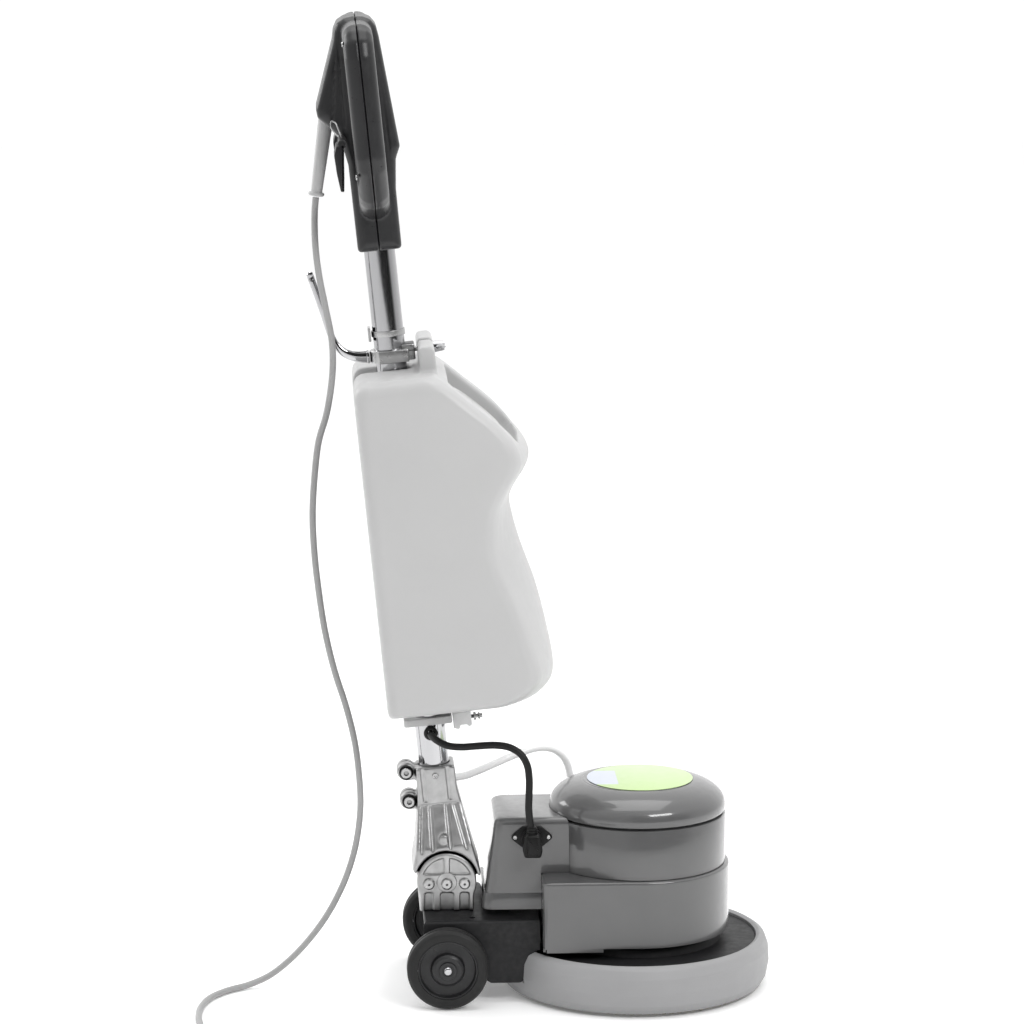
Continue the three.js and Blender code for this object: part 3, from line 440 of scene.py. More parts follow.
def look(name, colour, rough, metal=0.0, mottle=0.08, mottle_scale=18, rough_spread=0.06, rough_scale=90,
         bump=0.12, bump_scale=900, depth=0.0002, stretch=(1, 1, 1), tilt=0.0, wear=0.0,
         wear_colour=(0.6, 0.6, 0.6), hollow_shade_and_grime=0.0, sockets=None, paint=None):
    """A procedural finish: mottled colour, uneven gloss, a fine surface grain, worn edges, and painted shade
    with grime in hollows.
    """
    made = bpy.data.materials.new(name)
    made.use_nodes = True
    tree = made.node_tree
    shader = tree.nodes["Principled BSDF"]
    dark = tuple(max(0.0, c * (1 - mottle)) for c in colour)
    light = tuple(min(1.0, c * (1 + mottle)) for c in colour)
    shade = blended(tree, spread(tree, noise(tree, mottle_scale, 6, stretch, tilt), 0, 1), dark, light)
    if paint:
        shade = paint(tree, shade)
    if wear:
        edge = node(tree, "ShaderNodeNewGeometry").outputs["Pointiness"]
        patch = maths(tree, "MULTIPLY", ranged(tree, edge, *WORN_EDGE, 0, wear),
                      spread(tree, noise(tree, 140, 5), 0.2, 1))
        shade = blended(tree, patch, shade, wear_colour)
    # Painted shade and grime: hollows found by ambient occlusion are darkened in the base colour.
    if hollow_shade_and_grime:
        occlusion = node(tree, "ShaderNodeAmbientOcclusion", {"Distance": SHADE_AND_GRIME_REACH}, samples=8)
        shade = blended(tree, ranged(tree, occlusion.outputs["AO"], *SHADED_GRIMY_HOLLOW, hollow_shade_and_grime, 0), shade, SHADE_AND_GRIME)
    tree.links.new(shade, shader.inputs["Base Color"])
    gloss = spread(tree, noise(tree, rough_scale, 5, stretch, tilt), rough - rough_spread,
                   rough + rough_spread)
    tree.links.new(gloss, shader.inputs["Roughness"])
    relief = node(tree, "ShaderNodeBump", {"Strength": bump, "Distance": depth})
    tree.links.new(noise(tree, bump_scale, 3, stretch, tilt), relief.inputs["Height"])
    tree.links.new(relief.outputs["Normal"], shader.inputs["Normal"])
    shader.inputs["Metallic"].default_value = metal
    for key, value in (sockets or {}).items():
        shader.inputs[key].default_value = value
    return made


LABEL_BLUR = 0.0006
PALE_GREEN = (0.60, 0.68, 0.50)
PALE_BLUE = (0.60, 0.64, 0.72)


def label_paint(tree, green):
    """A pale panel towards the rear of the green disc, and a paler front."""
    split = node(tree, "ShaderNodeSeparateXYZ")
    tree.links.new(node(tree, "ShaderNodeTexCoord").outputs["Object"], split.inputs[0])
    low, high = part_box("cap_label")
    panel_edge = low.x + 0.28 * (high.x - low.x)
    half = 0.26 * (high.y - low.y)
    across = maths(tree, "ABSOLUTE", split.outputs["Y"])
    inside = [ranged(tree, source, limit - LABEL_BLUR, limit + LABEL_BLUR, 1, 0)
              for source, limit in ((split.outputs["X"], panel_edge), (across, half))]
    fade = ranged(tree, split.outputs["Y"], low.y, high.y, 0, 0.55)
    return blended(tree, maths(tree, "MULTIPLY", *inside), blended(tree, fade, green, PALE_GREEN), PALE_BLUE)


GLOSSY_COAT = {"Coat Weight": 1.0, "Coat Roughness": 0.07, "Specular IOR Level": 0.4}
DULL = {"Specular IOR Level": 0.22}
LOOKS = {
    "grey_shell": look("grey_shell", (0.088, 0.088, 0.089), 0.34, mottle=0.04, rough_spread=0.05,
                       bump=0.04, bump_scale=120, sockets=GLOSSY_COAT),
    "black_paint": look("black_paint", (0.010, 0.010, 0.011), 0.45, mottle=0.2, bump=0.25, bump_scale=700,
                        wear=0.25, wear_colour=(0.09, 0.09, 0.09), sockets=DULL),
    "black_plastic": look("black_plastic", (0.017, 0.017, 0.018), 0.33, mottle=0.12, bump=0.3,
                          bump_scale=1500, wear=0.1, wear_colour=(0.09, 0.09, 0.09),
                          sockets={"Specular IOR Level": 0.38}),
    "bumper_rubber": look("bumper_rubber", (0.3, 0.3, 0.304), 0.5, mottle=0.04, mottle_scale=9,
                          bump=0.1, bump_scale=600),
    "tank_plastic": look("tank_plastic", (0.47, 0.47, 0.47), 0.4, mottle=0.02, mottle_scale=7, bump=0.06,
                         bump_scale=60, sockets={"Subsurface Weight": 0.2, "Subsurface Scale": 0.01,
                                                 "Subsurface Radius": (1, 1, 1)}),
    "bracket_plastic": look("bracket_plastic", (0.5, 0.5, 0.5), 0.45, mottle=0.04),
    # The hose gets a faint white glow: painted light that brightens it.
    "clear_hose": look("clear_hose", (0.88, 0.88, 0.88), 0.25, mottle=0.03, bump=0.05, bump_scale=300,
                       sockets={"Emission Color": (1, 1, 1, 1), "Emission Strength": 0.12}),
    # The metals below get painted shade and grime in their hollows.
    "polished_steel": look("polished_steel", (0.47, 0.47, 0.48), 0.1, metal=1.0, mottle=0.05, mottle_scale=90,
                           rough_spread=0.03, rough_scale=160, bump=0.1, bump_scale=500, depth=0.00005,
                           stretch=(1, 1, 0.02), tilt=LEAN, hollow_shade_and_grime=0.5),
    "cast_aluminium": look("cast_aluminium", (0.4, 0.4, 0.4), 0.36, metal=1.0, mottle=0.12, mottle_scale=70,
                           rough_spread=0.07, rough_scale=90, bump=0.12, bump_scale=160, depth=0.0004,
                           hollow_shade_and_grime=0.95),
    "machine_steel": look("machine_steel", (0.45, 0.45, 0.45), 0.3, metal=1.0, mottle=0.1, bump_scale=1200,
                          hollow_shade_and_grime=0.8),
    "black_rubber": look("black_rubber", (0.012, 0.012, 0.012), 0.42, mottle=0.15, bump=0.1, bump_scale=400,
                         sockets=DULL),
    "tyre_rubber": look("tyre_rubber", (0.016, 0.016, 0.016), 0.55, mottle=0.2, mottle_scale=60, bump=0.3,
                        bump_scale=800, sockets={"Specular IOR Level": 0.3}),
    "grey_cord": look("grey_cord", (0.34, 0.34, 0.34), 0.48, mottle=0.04, bump=0.12, bump_scale=700),
    "copper_winding": look("copper_winding", (0.5, 0.19, 0.08), 0.35, metal=1.0, mottle=0.25, bump=0.6,
                           bump_scale=500, stretch=(1, 1, 8)),
    "nylon": look("nylon", (0.62, 0.6, 0.52), 0.5, mottle=0.15, mottle_scale=150, bump=0.2),
    "green_label": look("green_label", (0.50, 0.68, 0.29), 0.35, mottle=0.02, bump=0.03, bump_scale=300,
                        paint=label_paint, sockets={"Coat Weight": 0.3}),
}
# The tank plastic made lighter for the drain lug: painted light, standing in for light shining through it from
# behind.
LUG_PAINTED_LIGHT = look("lug_painted_light", (0.78, 0.78, 0.78), 0.4, mottle=0.03)
SLEEVE_GREY = look("sleeve_grey", (0.46, 0.46, 0.46), 0.45, mottle=0.04, bump=0.15, bump_scale=600)
INLET_BLACK = look("inlet_black", (0.006, 0.006, 0.006), 0.4, mottle=0.2, bump=0.3, bump_scale=900,
                   sockets=DULL)


BEVEL_ANGLE = 32


def piece(name, bm, slot, body, replaced=(), smooth=34, bevel=0.0, ridden=True, finish=None):
    """Puts a solid drawn in its body's space into the scene, with its slot's finish."""
    mesh = bpy.data.meshes.new(name)
    bm.transform(HANDLE if body in ON_HANDLE else MACHINE)
    bm.to_mesh(mesh)
    bm.free()
    mesh.shade_smooth()
    mesh.set_sharp_from_angle(angle=math.radians(smooth))
    mesh.materials.append(finish or LOOKS[slot])
    obj = bpy.data.objects.new(name, mesh)
    bpy.context.scene.collection.objects.link(obj)
    if bevel:
        edge = obj.modifiers.new("edge", "BEVEL")
        edge.width = bevel * MM
        edge.segments = 3
        edge.limit_method = "ANGLE"
        edge.angle_limit = math.radians(BEVEL_ANGLE)
        edge.harden_normals = True
    if ridden:
        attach(obj, body)
    if replaced:
        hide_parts(*replaced)
    return obj


# ---------- camera and light ----------
CAMERA_PLACE = (-0.280, -4.786, 1.47)
CAMERA_PITCH = 10.3
CAMERA_YAW = -2.9
CAMERA_LENS = 139.3


# Directions of the room's bright side and of the dark patch that the machine mirrors.
BRIGHT_SIDE = (0, 0.62, 0.78)
DARK_SIDE = (0.42, -0.89, 0.15)


def camera():
    data = bpy.data.cameras.new("camera")
    data.lens = CAMERA_LENS
    data.sensor_width = 36
    data.clip_end = 60
    obj = bpy.data.objects.new("camera", data)
    obj.location = CAMERA_PLACE
    obj.rotation_euler = (math.radians(90 - CAMERA_PITCH), 0, math.radians(CAMERA_YAW))
    bpy.context.scene.collection.objects.link(obj)
    bpy.context.scene.camera = obj


def softbox(name, place, target, width, height, power):
    data = bpy.data.lights.new(name, "AREA")
    data.shape = "RECTANGLE"
    data.size = width
    data.size_y = height
    data.energy = power
    obj = bpy.data.objects.new(name, data)
    obj.location = place
    obj.rotation_euler = (Vector(target) - Vector(place)).to_track_quat("-Z", "Y").to_euler()
    bpy.context.scene.collection.objects.link(obj)


def studio():
    """A white room. What the machine mirrors of it is darker on its right, and no view shows that."""
    world = bpy.data.worlds.new("studio")
    bpy.context.scene.world = world
    world.use_nodes = True
    tree = world.node_tree
    facing = node(tree, "ShaderNodeTexCoord").outputs["Generated"]

    def level(direction, start, end, low, high):
        toward = node(tree, "ShaderNodeVectorMath", operation="DOT_PRODUCT")
        toward.inputs[1].default_value = Vector(direction).normalized()
        tree.links.new(facing, toward.inputs[0])
        return ranged(tree, toward.outputs["Value"], start, end, low, high, interpolation_type="SMOOTHSTEP")

    mirrored_light = maths(tree, "MULTIPLY", level(BRIGHT_SIDE, -0.6, 0.7, 0.42, 1.1),
                           level(DARK_SIDE, 0.66, 0.9, 1, 0.06))
    direct_view = node(tree, "ShaderNodeLightPath").outputs["Is Camera Ray"]
    strength = maths(tree, "MAXIMUM", mirrored_light, direct_view)
    tree.links.new(strength, tree.nodes["Background"].inputs["Strength"])
    tree.nodes["Background"].inputs["Color"].default_value = (1, 1, 1, 1)
    softbox("key", (1.5, -2.4, 2.4), (0.1, 0, 0.3), 1.7, 0.7, 48)
    softbox("top", (0.0, 0.2, 3.2), (0, 0, 0.4), 2.4, 2.4, 36)
    softbox("rim", (-2.6, 1.6, 1.8), (0, 0, 0.6), 1.2, 1.8, 26)
    bpy.context.scene.view_settings.view_transform = "Standard"
    bpy.context.scene.view_settings.look = "None"
    mesh = bpy.data.meshes.new("floor")
    reach = 12
    mesh.from_pydata([(-reach, -reach, 0), (reach, -reach, 0), (reach, reach, 0), (-reach, reach, 0)], [],
                     [(0, 1, 2, 3)])
    floor = bpy.data.objects.new("floor", mesh)
    bpy.context.scene.collection.objects.link(floor)
    mesh.materials.append(look("floor", (0.97, 0.97, 0.97), 0.8, mottle=0.01, mottle_scale=2, bump=0.02,
                               bump_scale=60, sockets={"Emission Color": (1, 1, 1, 1),
                                                       "Emission Strength": 0.1, "Specular IOR Level": 0.1}))


# ---------- cords ----------
# The mains cord's free stretch, from the strain relief to the coil. Machine space, as in the CAD source.
MAINS_ROUTE = [
    (-389.9, 0, 988.2), (-391.6, -2, 968), (-391, -7, 930), (-387, -10, 895), (-378.5, -10.5, 850),
    (-372, -10.5, 813.8), (-371.6, -10, 775), (-379, -7, 725), (-389, -4, 690), (-395, 0, 640),
    (-397.3, 0, 595), (-395.5, 0, 550), (-391, 0, 505), (-383, 0, 450), (-371.5, 0, 400), (-358, 0, 356),
    (-347.5, 0, 310), (-342, 0, 260), (-341.4, 0, 225), (-346.5, 0, 184), (-355.5, 0, 150), (-368, 0, 119),
    (-385.5, 0, 87), (-407, -1, 58), (-431, -3, 33), (-456, -7, 14.5), (-482, -16, 5.6), (-508, -34, 4.2),
    (-528, -62, 4.2), (-539, -100, 4.2), (-541, -145, 4.2), (-535, -195, 4.2), (-524, -245, 4.2),
    (-513, -295, 4.2), (-506, -340, 4.6), (-504.6, -366, 5.2), (-504.2, -387.5, 5.6)]
LEAD_ROUTE = [
    (-253.9, -26, 325.4), (-252.6, -33, 324.8), (-246, -45, 322), (-234, -56, 318.5), (-217, -63.5, 318.5),
    (-197, -69, 321), (-177, -72.5, 322.5), (-160, -75.5, 320.5), (-146, -78.5, 312.5), (-138, -80.5, 299),
    (-135.5, -82, 281), (-135.8, -83, 262), (-136.2, -83.6, 244), (-134.6, -84, 228), (-131.9, -84.3, 214.8)]
HOSE_ROUTE = [
    (-259.5, 37, 327.5), (-262, 38, 316), (-263, 40, 300), (-260, 42.5, 283), (-252, 45, 268),
    (-240, 47.5, 257), (-226, 49.5, 252.5), (-211, 51.5, 253.2), (-194, 54, 258.5), (-174, 58, 266),
    (-154, 63, 273.5), (-134.5, 69, 279.5), (-118, 75, 282.5), (-104, 81, 281.5), (-91, 86.5, 275.5),
    (-81, 91, 264.5), (-75.5, 94, 250), (-73, 96, 230), (-72.2, 97, 205), (-72, 97, 181)]
COIL_CENTRE = (-420, -425)
COIL_MEAN_RADIUS = 68
COIL_COLUMNS = 5
COIL_LAYERS = 4
COIL_LIFT = 1.6
PLUG_PLACE = Vector((-373, -509, 19))


def coil_turns():
    """The stored turns: each layer is wound across from where the one below ended, and the last turn
    comes down outside the top layer. A move to the next place is quick, and comes a little earlier in
    each layer, so that no turn passes through another."""
    radii = [COIL_MEAN_RADIUS + (i - (COIL_COLUMNS - 1) / 2) * 2 * CORD_RADIUS for i in range(COIL_COLUMNS)]
    heights = [COIL_LIFT + CORD_RADIUS * (1 + 2 * layer) for layer in range(COIL_LAYERS)]
    rows = (radii[::-1], radii, radii[-2::-1], radii[:-1])
    stops = [(radius, height) for row, height in zip(rows, heights) for radius in row]
    stops.append((radii[-1], heights[-2]))
    quick = 0.12
    starts = [1 - quick]
    for i in range(2, len(stops)):
        layer_change = stops[i][1] != stops[i - 1][1] or stops[i - 1][1] != stops[i - 2][1]
        starts.append(starts[-1] + (1 - 1.08 * quick if layer_change else 1))
    per_turn = 64
    last = math.floor(starts[-1] + quick) + 0.25
    if last < starts[-1] + quick:
        last += 1
    made = []
    for i in range(round(last * per_turn) + 1):
        turn = i / per_turn
        gone = sum(start <= turn for start in starts)
        radius, height = stops[gone]
        share = 1.0 if gone == 0 else min(1.0, (turn - starts[gone - 1]) / quick)
        if share < 1.0:
            before = stops[gone - 1]
            ease = share * share * (3 - 2 * share)
            if before[0] != radius and before[1] != height:
                inner, lower = min(before[0], radius), min(before[1], height)
                swing = math.pi / 2 * (ease if height > before[1] else 1 - ease)
                radius = inner + abs(before[0] - radius) * math.cos(swing)
                height = lower + abs(before[1] - height) * math.sin(swing)
            else:
                radius = before[0] + (radius - before[0]) * ease
                height = before[1] + (height - before[1]) * ease
        angle = math.pi + 2 * math.pi * turn
        made.append(Vector((COIL_CENTRE[0] + radius * math.cos(angle),
                            COIL_CENTRE[1] + radius * math.sin(angle), height)))
    return made


def flex(name, path, radius, slot, replaced, base_end, handle_end, far_end, pieces, sides=14, **facts):
    """A cord swept as one fixed tube along its path, between the base and the handle; it is not attached to
    either and does not bend.
    """
    obj = piece(name, sweep(path, radius, sides), slot, None, replaced, smooth=60, ridden=False)
    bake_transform(obj)
    return obj


def mains_lead():
    plug = mains_plug()
    tie = coil_tie()
    relief = strain_relief()
    tail = [PLUG_PLACE + Vector((-26, 0, 1.6)), PLUG_PLACE + Vector((-10, 0, 0.2)),
            PLUG_PLACE + Vector((3, 0, 0))]
    free = smooth_path(MAINS_ROUTE, 7)
    path = smooth_path(free[::2] + coil_turns() + tail, 7)
    flex("mains_lead", path, CORD_RADIUS, "grey_cord", ("mains_cord", "cord_coil"), (-400, 0, 20),
         (-400, 0, 900), "plug", [plug, tie, relief], sides=12, stiffness="medium", lay="coiled")


def mains_plug():
    """A moulded two-pin plug with a ribbed neck."""
    outline = rounded([(0, 20), (18, 20), (18.4, 24), (18.4, 48), (17, 51.5), (0, 51.5)],
                      [0, 2.5, 2, 2, 1.5, 0])
    head = lathe(outline, "x", PLUG_PLACE, 64)
    ribs = []
    for i in range(5):
        start = 3 + 3.6 * i
        ribs.append((5.6 + 0.55 * i, start))
        ribs.append((7.6 + 0.5 * i, start + 0.6))
        ribs.append((7.6 + 0.5 * i, start + 2.2))
        ribs.append((5.6 + 0.55 * i, start + 2.8))
    neck = lathe([(0, 0), (5.4, 0), *ribs, (9, 21.5), (0, 21.5)], "x", PLUG_PLACE, 48)
    obj = piece("plug_body", merged(head, neck), "black_rubber", "base", ("mains_plug",))
    pins = [lathe(rounded([(0, 50), (2.4, 50), (2.4, 70), (1.2, 71), (0, 71)], [0, 0, 1, 0.5, 0]), "x",
                  PLUG_PLACE + Vector((0, side * 9.5, 0)), 24) for _, side in SIDES]
    pin = piece("plug_pins", merged(*pins), "polished_steel", "base")
    pin.parent = obj
    return obj


def coil_tie():
    """A hook-and-loop band round one side of the coil."""
    outside = COIL_MEAN_RADIUS + COIL_COLUMNS * CORD_RADIUS + 1.2
    inside = COIL_MEAN_RADIUS - COIL_COLUMNS * CORD_RADIUS - 1.2
    top = COIL_LIFT + COIL_LAYERS * 2 * CORD_RADIUS + 1.2
    outer = rounded([(inside - 1, 0.1), (outside + 1, 0.1), (outside + 1, top + 1), (inside - 1, top + 1)],
                    4, 6)
    inner = rounded([(inside, 1.2), (outside, 1.2), (outside, top), (inside, top)], 3.2, 6)
    bm = bmesh.new()
    rings = [[bm.verts.new((a, t, b)) for a, b in ring] for ring, t in
             ((outer, -9), (outer, 9), (inner, 9), (inner, -9))]
    strips(bm, rings + rings[:1])
    closed(bm)
    tail = block(inside + 8, inside + 30, -8, 8, top + 0.9, top + 2.1)
    band = moved(merged(bm, tail), (*COIL_CENTRE, 0))
    return piece("coil_tie", band, "black_rubber", "base", bevel=0.3)


RELIEF_TOP = Vector((-47.5, 0, 950))
RELIEF_END = Vector((-69.2, 0, 858.5))


def strain_relief():
    length = (RELIEF_TOP - RELIEF_END).length
    lean = math.degrees(math.atan2(RELIEF_TOP.x - RELIEF_END.x, RELIEF_TOP.z - RELIEF_END.z))
    bore = CORD_RADIUS + 0.2
    outline = [(bore, 0.5), *arc(7.4, 2.6, 2.4, -90, 90, 8), (7.0, 5.4), (6.9, 7), (7.7, 40),
               (9.1, length - 4), (9.3, length), (bore, length)]
    sleeve = turned(lathe(outline, segments=48), lean, "Y")
    return piece("cord_sleeve", moved(sleeve, RELIEF_END), "grey_cord", "handle", ("strain_relief",), 50,
                 finish=SLEEVE_GREY)


def leads():
    path = smooth_path(LEAD_ROUTE, 4)
    flex("motor_flex", path, LEAD_RADIUS, "black_rubber", ("motor_lead",), LEAD_ROUTE[-1], LEAD_ROUTE[0],
         "object", [], stiffness="stiff", lay="loose")
    path = smooth_path(HOSE_ROUTE, 4)
    flex("water_hose", path, HOSE_RADIUS, "clear_hose", ("solution_hose",), HOSE_ROUTE[-1], HOSE_ROUTE[0],
         "object", [], stiffness="stiff", lay="loose")


# ---------- deck, bumper ring and brush ----------
def deck():
    plate = rounded([(24, 56), (153, 56), (153, 60), (24, 60)], [0, 1, 1.4, 0])
    dais = rounded([(24, 58), (106.4, 58), (104, 70), (24, 70)], [0, 0, 3, 0])
    piece("deck_plate", merged(lathe(plate, segments=128), lathe(dais, centre=MOTOR_AXIS, segments=128)),
          "black_paint", "base", ("deck_disc",))
    profile = [(147, 51.5), (158, 51.5), (163.6, 36), (161.5, 17), (157.8, 5), (161.5, 5), (167, 15),
               (170, 31), (169, 49), (164.5, 61), (158, 65), (153.4, 62.5), (153.4, 55.6), (147, 55.6)]
    ring = lathe(rounded(profile, [0.8, 1, 3, 3, 1.2, 1.6, 8, 9, 9, 5, 2.4, 1, 0.5, 0.8], 5), segments=160)
    slots = [block(-180, -116, side * 89.5 - 2.2, side * 89.5 + 2.2, 25.4, 80) for _, side in SIDES]
    piece("bumper", combine("DIFFERENCE", ring, *slots), "bumper_rubber", "base", ("bumper_ring",), smooth=40)


def brush():
    """Splayed tufts set in rings in a moulded block."""
    tufts = bmesh.new()
    for row in range(10):
        radius = 61 + 9.4 * row
        count = round(2 * math.pi * radius / 9.6)
        for i in range(count):
            turn = 2 * math.pi * (i + 0.5 * (row % 2)) / count
            out = Vector((math.cos(turn), math.sin(turn), 0))
            foot = Vector((MOTOR_X, 0, 28.2)) + out * radius
            tip = foot + out * (0.8 + 0.12 * row + random.uniform(-0.5, 0.5))
            tip.z = random.uniform(0.1, 0.9)
            tilt = random.uniform(0, math.pi)
            ends = []
            for centre, size in ((foot, 2.0), (tip, 3.0)):
                ends.append([tufts.verts.new(centre + Vector((size * math.cos(tilt + k * math.pi / 3),
                                                              size * math.sin(tilt + k * math.pi / 3), 0)))
                             for k in range(6)])
            strips(tufts, ends)
            tufts.faces.new(ends[1])
    bmesh.ops.recalc_face_normals(tufts, faces=tufts.faces)
    piece("brush_tufts", tufts, "nylon", "brush", ("brush_bristles",))
    profile = rounded([(50, 28), (152, 28), (152, 42), (140, 42), (138, 39.5), (70, 39.5), (68, 42),
                       (50, 42)], [1, 2.5, 2.5, 1, 1, 1, 1, 1])
    board = lathe(profile, centre=MOTOR_AXIS, segments=96)
    ribs = [turned(block(68, 141, -2, 2, 37, 41.6), 30 * i, "Z") for i in range(12)]
    piece("brush_board", merged(board, moved(merged(*ribs), MOTOR_AXIS)), "black_plastic", "brush",
          ("brush_block",))


# ---------- housings ----------
def belt_outline(grow):
    """Straight sides at the rear, with rounded rear corners, and a half round front."""
    corner = 6
    side = BELT_RADIUS + grow
    rear = BELT_REAR - grow
    reach = corner + grow
    return [*arc(rear + reach, -side + reach, reach, 180, 270, 6), *arc(MOTOR_X, 0, side, -90, 90, 72),
            *arc(rear + reach, side - reach, reach, 90, 180, 6)]


def rim(height, radius, steps=6):
    """Levels of a rounded top edge: (height, how far in)."""
    turns = [math.pi / 2 * i / steps for i in range(steps + 1)]
    return [(height - radius * (1 - math.sin(a)), -radius * (1 - math.cos(a))) for a in turns]


def housings():
    levels = [(150, -3), (74, -3), (74, -0.4), (74.4, 0), *rim(BELT_TOP, 3.4)]
    lower = loft([[Vector((a, b, height)) for a, b in belt_outline(grow)] for height, grow in levels])
    skirts = [block(BELT_REAR + 4, -46, side * 113.4 - 1.5, side * 113.4 + 1.5, 70, 78) for _, side in SIDES]
    skirts.append(block(BELT_REAR, BELT_REAR + 3, -110, 110, 70, 78))
    piece("lower_housing", merged(lower, *skirts), "grey_shell", "base", ("belt_housing",), smooth=40)

    wall = [(107, 158.3), (109.4, 158.3), (110, 158.9), (110, 219), (109.4, 220.4), (108, 221), (99, 221),
            (99, 218), (107, 218)]
    piece("upper_housing", lathe(wall, centre=MOTOR_AXIS, segments=160), "grey_shell", "base",
          ("motor_housing",), smooth=30)
    seal = rounded([(98, 221.3), (106, 221.3), (106, 223.7), (98, 223.7)], 0.8)
    piece("dome_seal", lathe(seal, centre=MOTOR_AXIS, segments=96), "black_rubber", "base", ("cap_gasket",))
    crown = smooth_path([(109.6, 0, 225.4), (110, 0, 230), (109, 0, 236), (106, 0, 242.4), (99, 0, 249.4),
                         (88, 0, 255.4), (78, 0, 258.8), (70.5, 0, 260.5)], 1.6)
    outside = [(107, 224), (108.8, 224.1), *((p.x, p.z) for p in crown), (68.5, 260.5), (67.8, 261), (0, 261)]
    inside = [(0, 257.5), (69, 257.5), (82, 253.6), (96, 247), (104, 239), (107, 230)]
    piece("dome", lathe(outside + inside, centre=MOTOR_AXIS, segments=160), "grey_shell", "base",
          ("dome_cap",), smooth=30)
    disc = rounded([(0, 261.3), (66, 261.3), (66, 261.9), (0, 261.9)], [0, 0.2, 0.3, 0])
    piece("round_label", lathe(disc, centre=(7, 0, 0), segments=128), "green_label", "base", ("cap_label",))


def box_ring(rear, half, height, corner):
    front = -60
    return [Vector((a, b, height)) for a, b in
            (*arc(rear + corner, -half + corner, corner, 180, 270, 8), (front, -half), (front, half),
             *arc(rear + corner, half - corner, corner, 90, 180, 8))]


def electrics_box():
    def at(height):
        share = (height - 113) / (222 - 113)
        return -190.5 + 13.5 * share, 66.5 - 2.5 * share

    rings = [box_ring(-192.6, 68, 113, 13), box_ring(-190.6, 67.8, 131.6, 13),
             box_ring(-190, 67.4, 132.8, 13), box_ring(-188.4, 66.2, 133.4, 12)]
    rings += [box_ring(*at(height), height, 12) for height in (150, 180, 205, 219)]
    for height, pull in rim(227, 7.5):
        if height > 219.5:
            rear, half = at(height)
            rings.append(box_ring(rear - pull * 1.1, half + pull, height, 12))
    motor = lathe([(0, 158), (MOTOR_RADIUS + GAP, 158), (MOTOR_RADIUS + GAP, 240), (0, 240)],
                  centre=MOTOR_AXIS, segments=160)
    belt = prism(belt_outline(GAP), 60, BELT_TOP + GAP, "z")
    inside = loft([box_ring(-189, 63.6, 100, 9), box_ring(-174.5, 61, 219, 9), box_ring(-172, 58, 223, 9)])
    hole = cutter(13.5, -80, -50, "y", (INLET_X, 0, INLET_Z))
    box = combine("DIFFERENCE", loft(rings), inside, motor, belt, hole)
    piece("rear_box", box, "grey_shell", "base", ("electrics_box",), smooth=36)


# ---------- power inlet and the pieces the leads end in ----------
def inlet():
    outline = [(-26, 0), (-22, -4.5), (-11, -13.5), (11, -13.5), (22, -4.5), (26, 0), (22, 4.5), (11, 13.5),
               (-11, 13.5), (-22, 4.5)]
    outline = [(INLET_X + a, INLET_Z + b) for a, b in rounded(outline, [3, 3, 8, 8, 3, 3, 3, 8, 8, 3], 5)]
    flange = pillow(outline, INLET_FACE - 3.5, INLET_FACE, "y", 0.9, 3)
    barrel = rod(13, INLET_FACE - 1, -44, "y", (INLET_X, 0, INLET_Z))
    piece("inlet_flange", merged(flange, barrel), "black_plastic", "base", ("power_inlet",),
          finish=INLET_BLACK)
    screws = [screw(2.6, 1.4, (INLET_X + side * 20.5, INLET_FACE - 3.5, INLET_Z), "y", -1)
              for _, side in SIDES]
    piece("inlet_screws", merged(*screws), "machine_steel", "base")

    front = INLET_FACE - 3.8
    collar = lathe([(0, front), (12.6, front), (13, front - 0.6), (13, front - 3), (12.2, front - 3.8),
                    (12.2, front - 6.6), (12.8, front - 7.4), (12.8, front - 9), (0, front - 9)], "y",
                   (INLET_X, 0, INLET_Z - 1), 64)
    outline = [(-10, -20), (10, -20), (12, -12), (10, 6), (6.5, 9), (-6.5, 9), (-10, 6), (-12, -12)]
    outline = [(INLET_X + a, INLET_Z + b) for a, b in rounded(outline, 4, 4)]
    elbow = pillow(outline, front - 26.6, front - 5, "y", 4.5, 5)
    sleeve = []
    for i in range(3):
        sleeve += [(7.2 - 0.5 * i, 8 + 3 * i), (7.2 - 0.5 * i, 10 + 3 * i), (5.4, 10.2 + 3 * i),
                   (5.4, 10.9 + 3 * i)]
    boot = lathe([(0, 4), (7.2, 4), *sleeve, (5, 18), (0, 18)], centre=(INLET_X - 0.5, front - 15.8, INLET_Z))
    piece("lead_elbow", merged(collar, elbow, boot), "black_plastic", "base", ("lead_plug",), smooth=40,
          finish=INLET_BLACK)

    spout = [(3.2, 158.3), (11, 158.3), (11, 161.6), (10, 163), (7.6, 163.4), (7, 165), (6.6, 170),
             (7.2, 171), (6.3, 174), (7, 175), (6, 180), (5.4, 180.5), (3.2, 180.5)]
    piece("hose_spigot", lathe(spout, centre=(-72, 97, 0), segments=48), "black_plastic", "base",
          ("hose_inlet",))


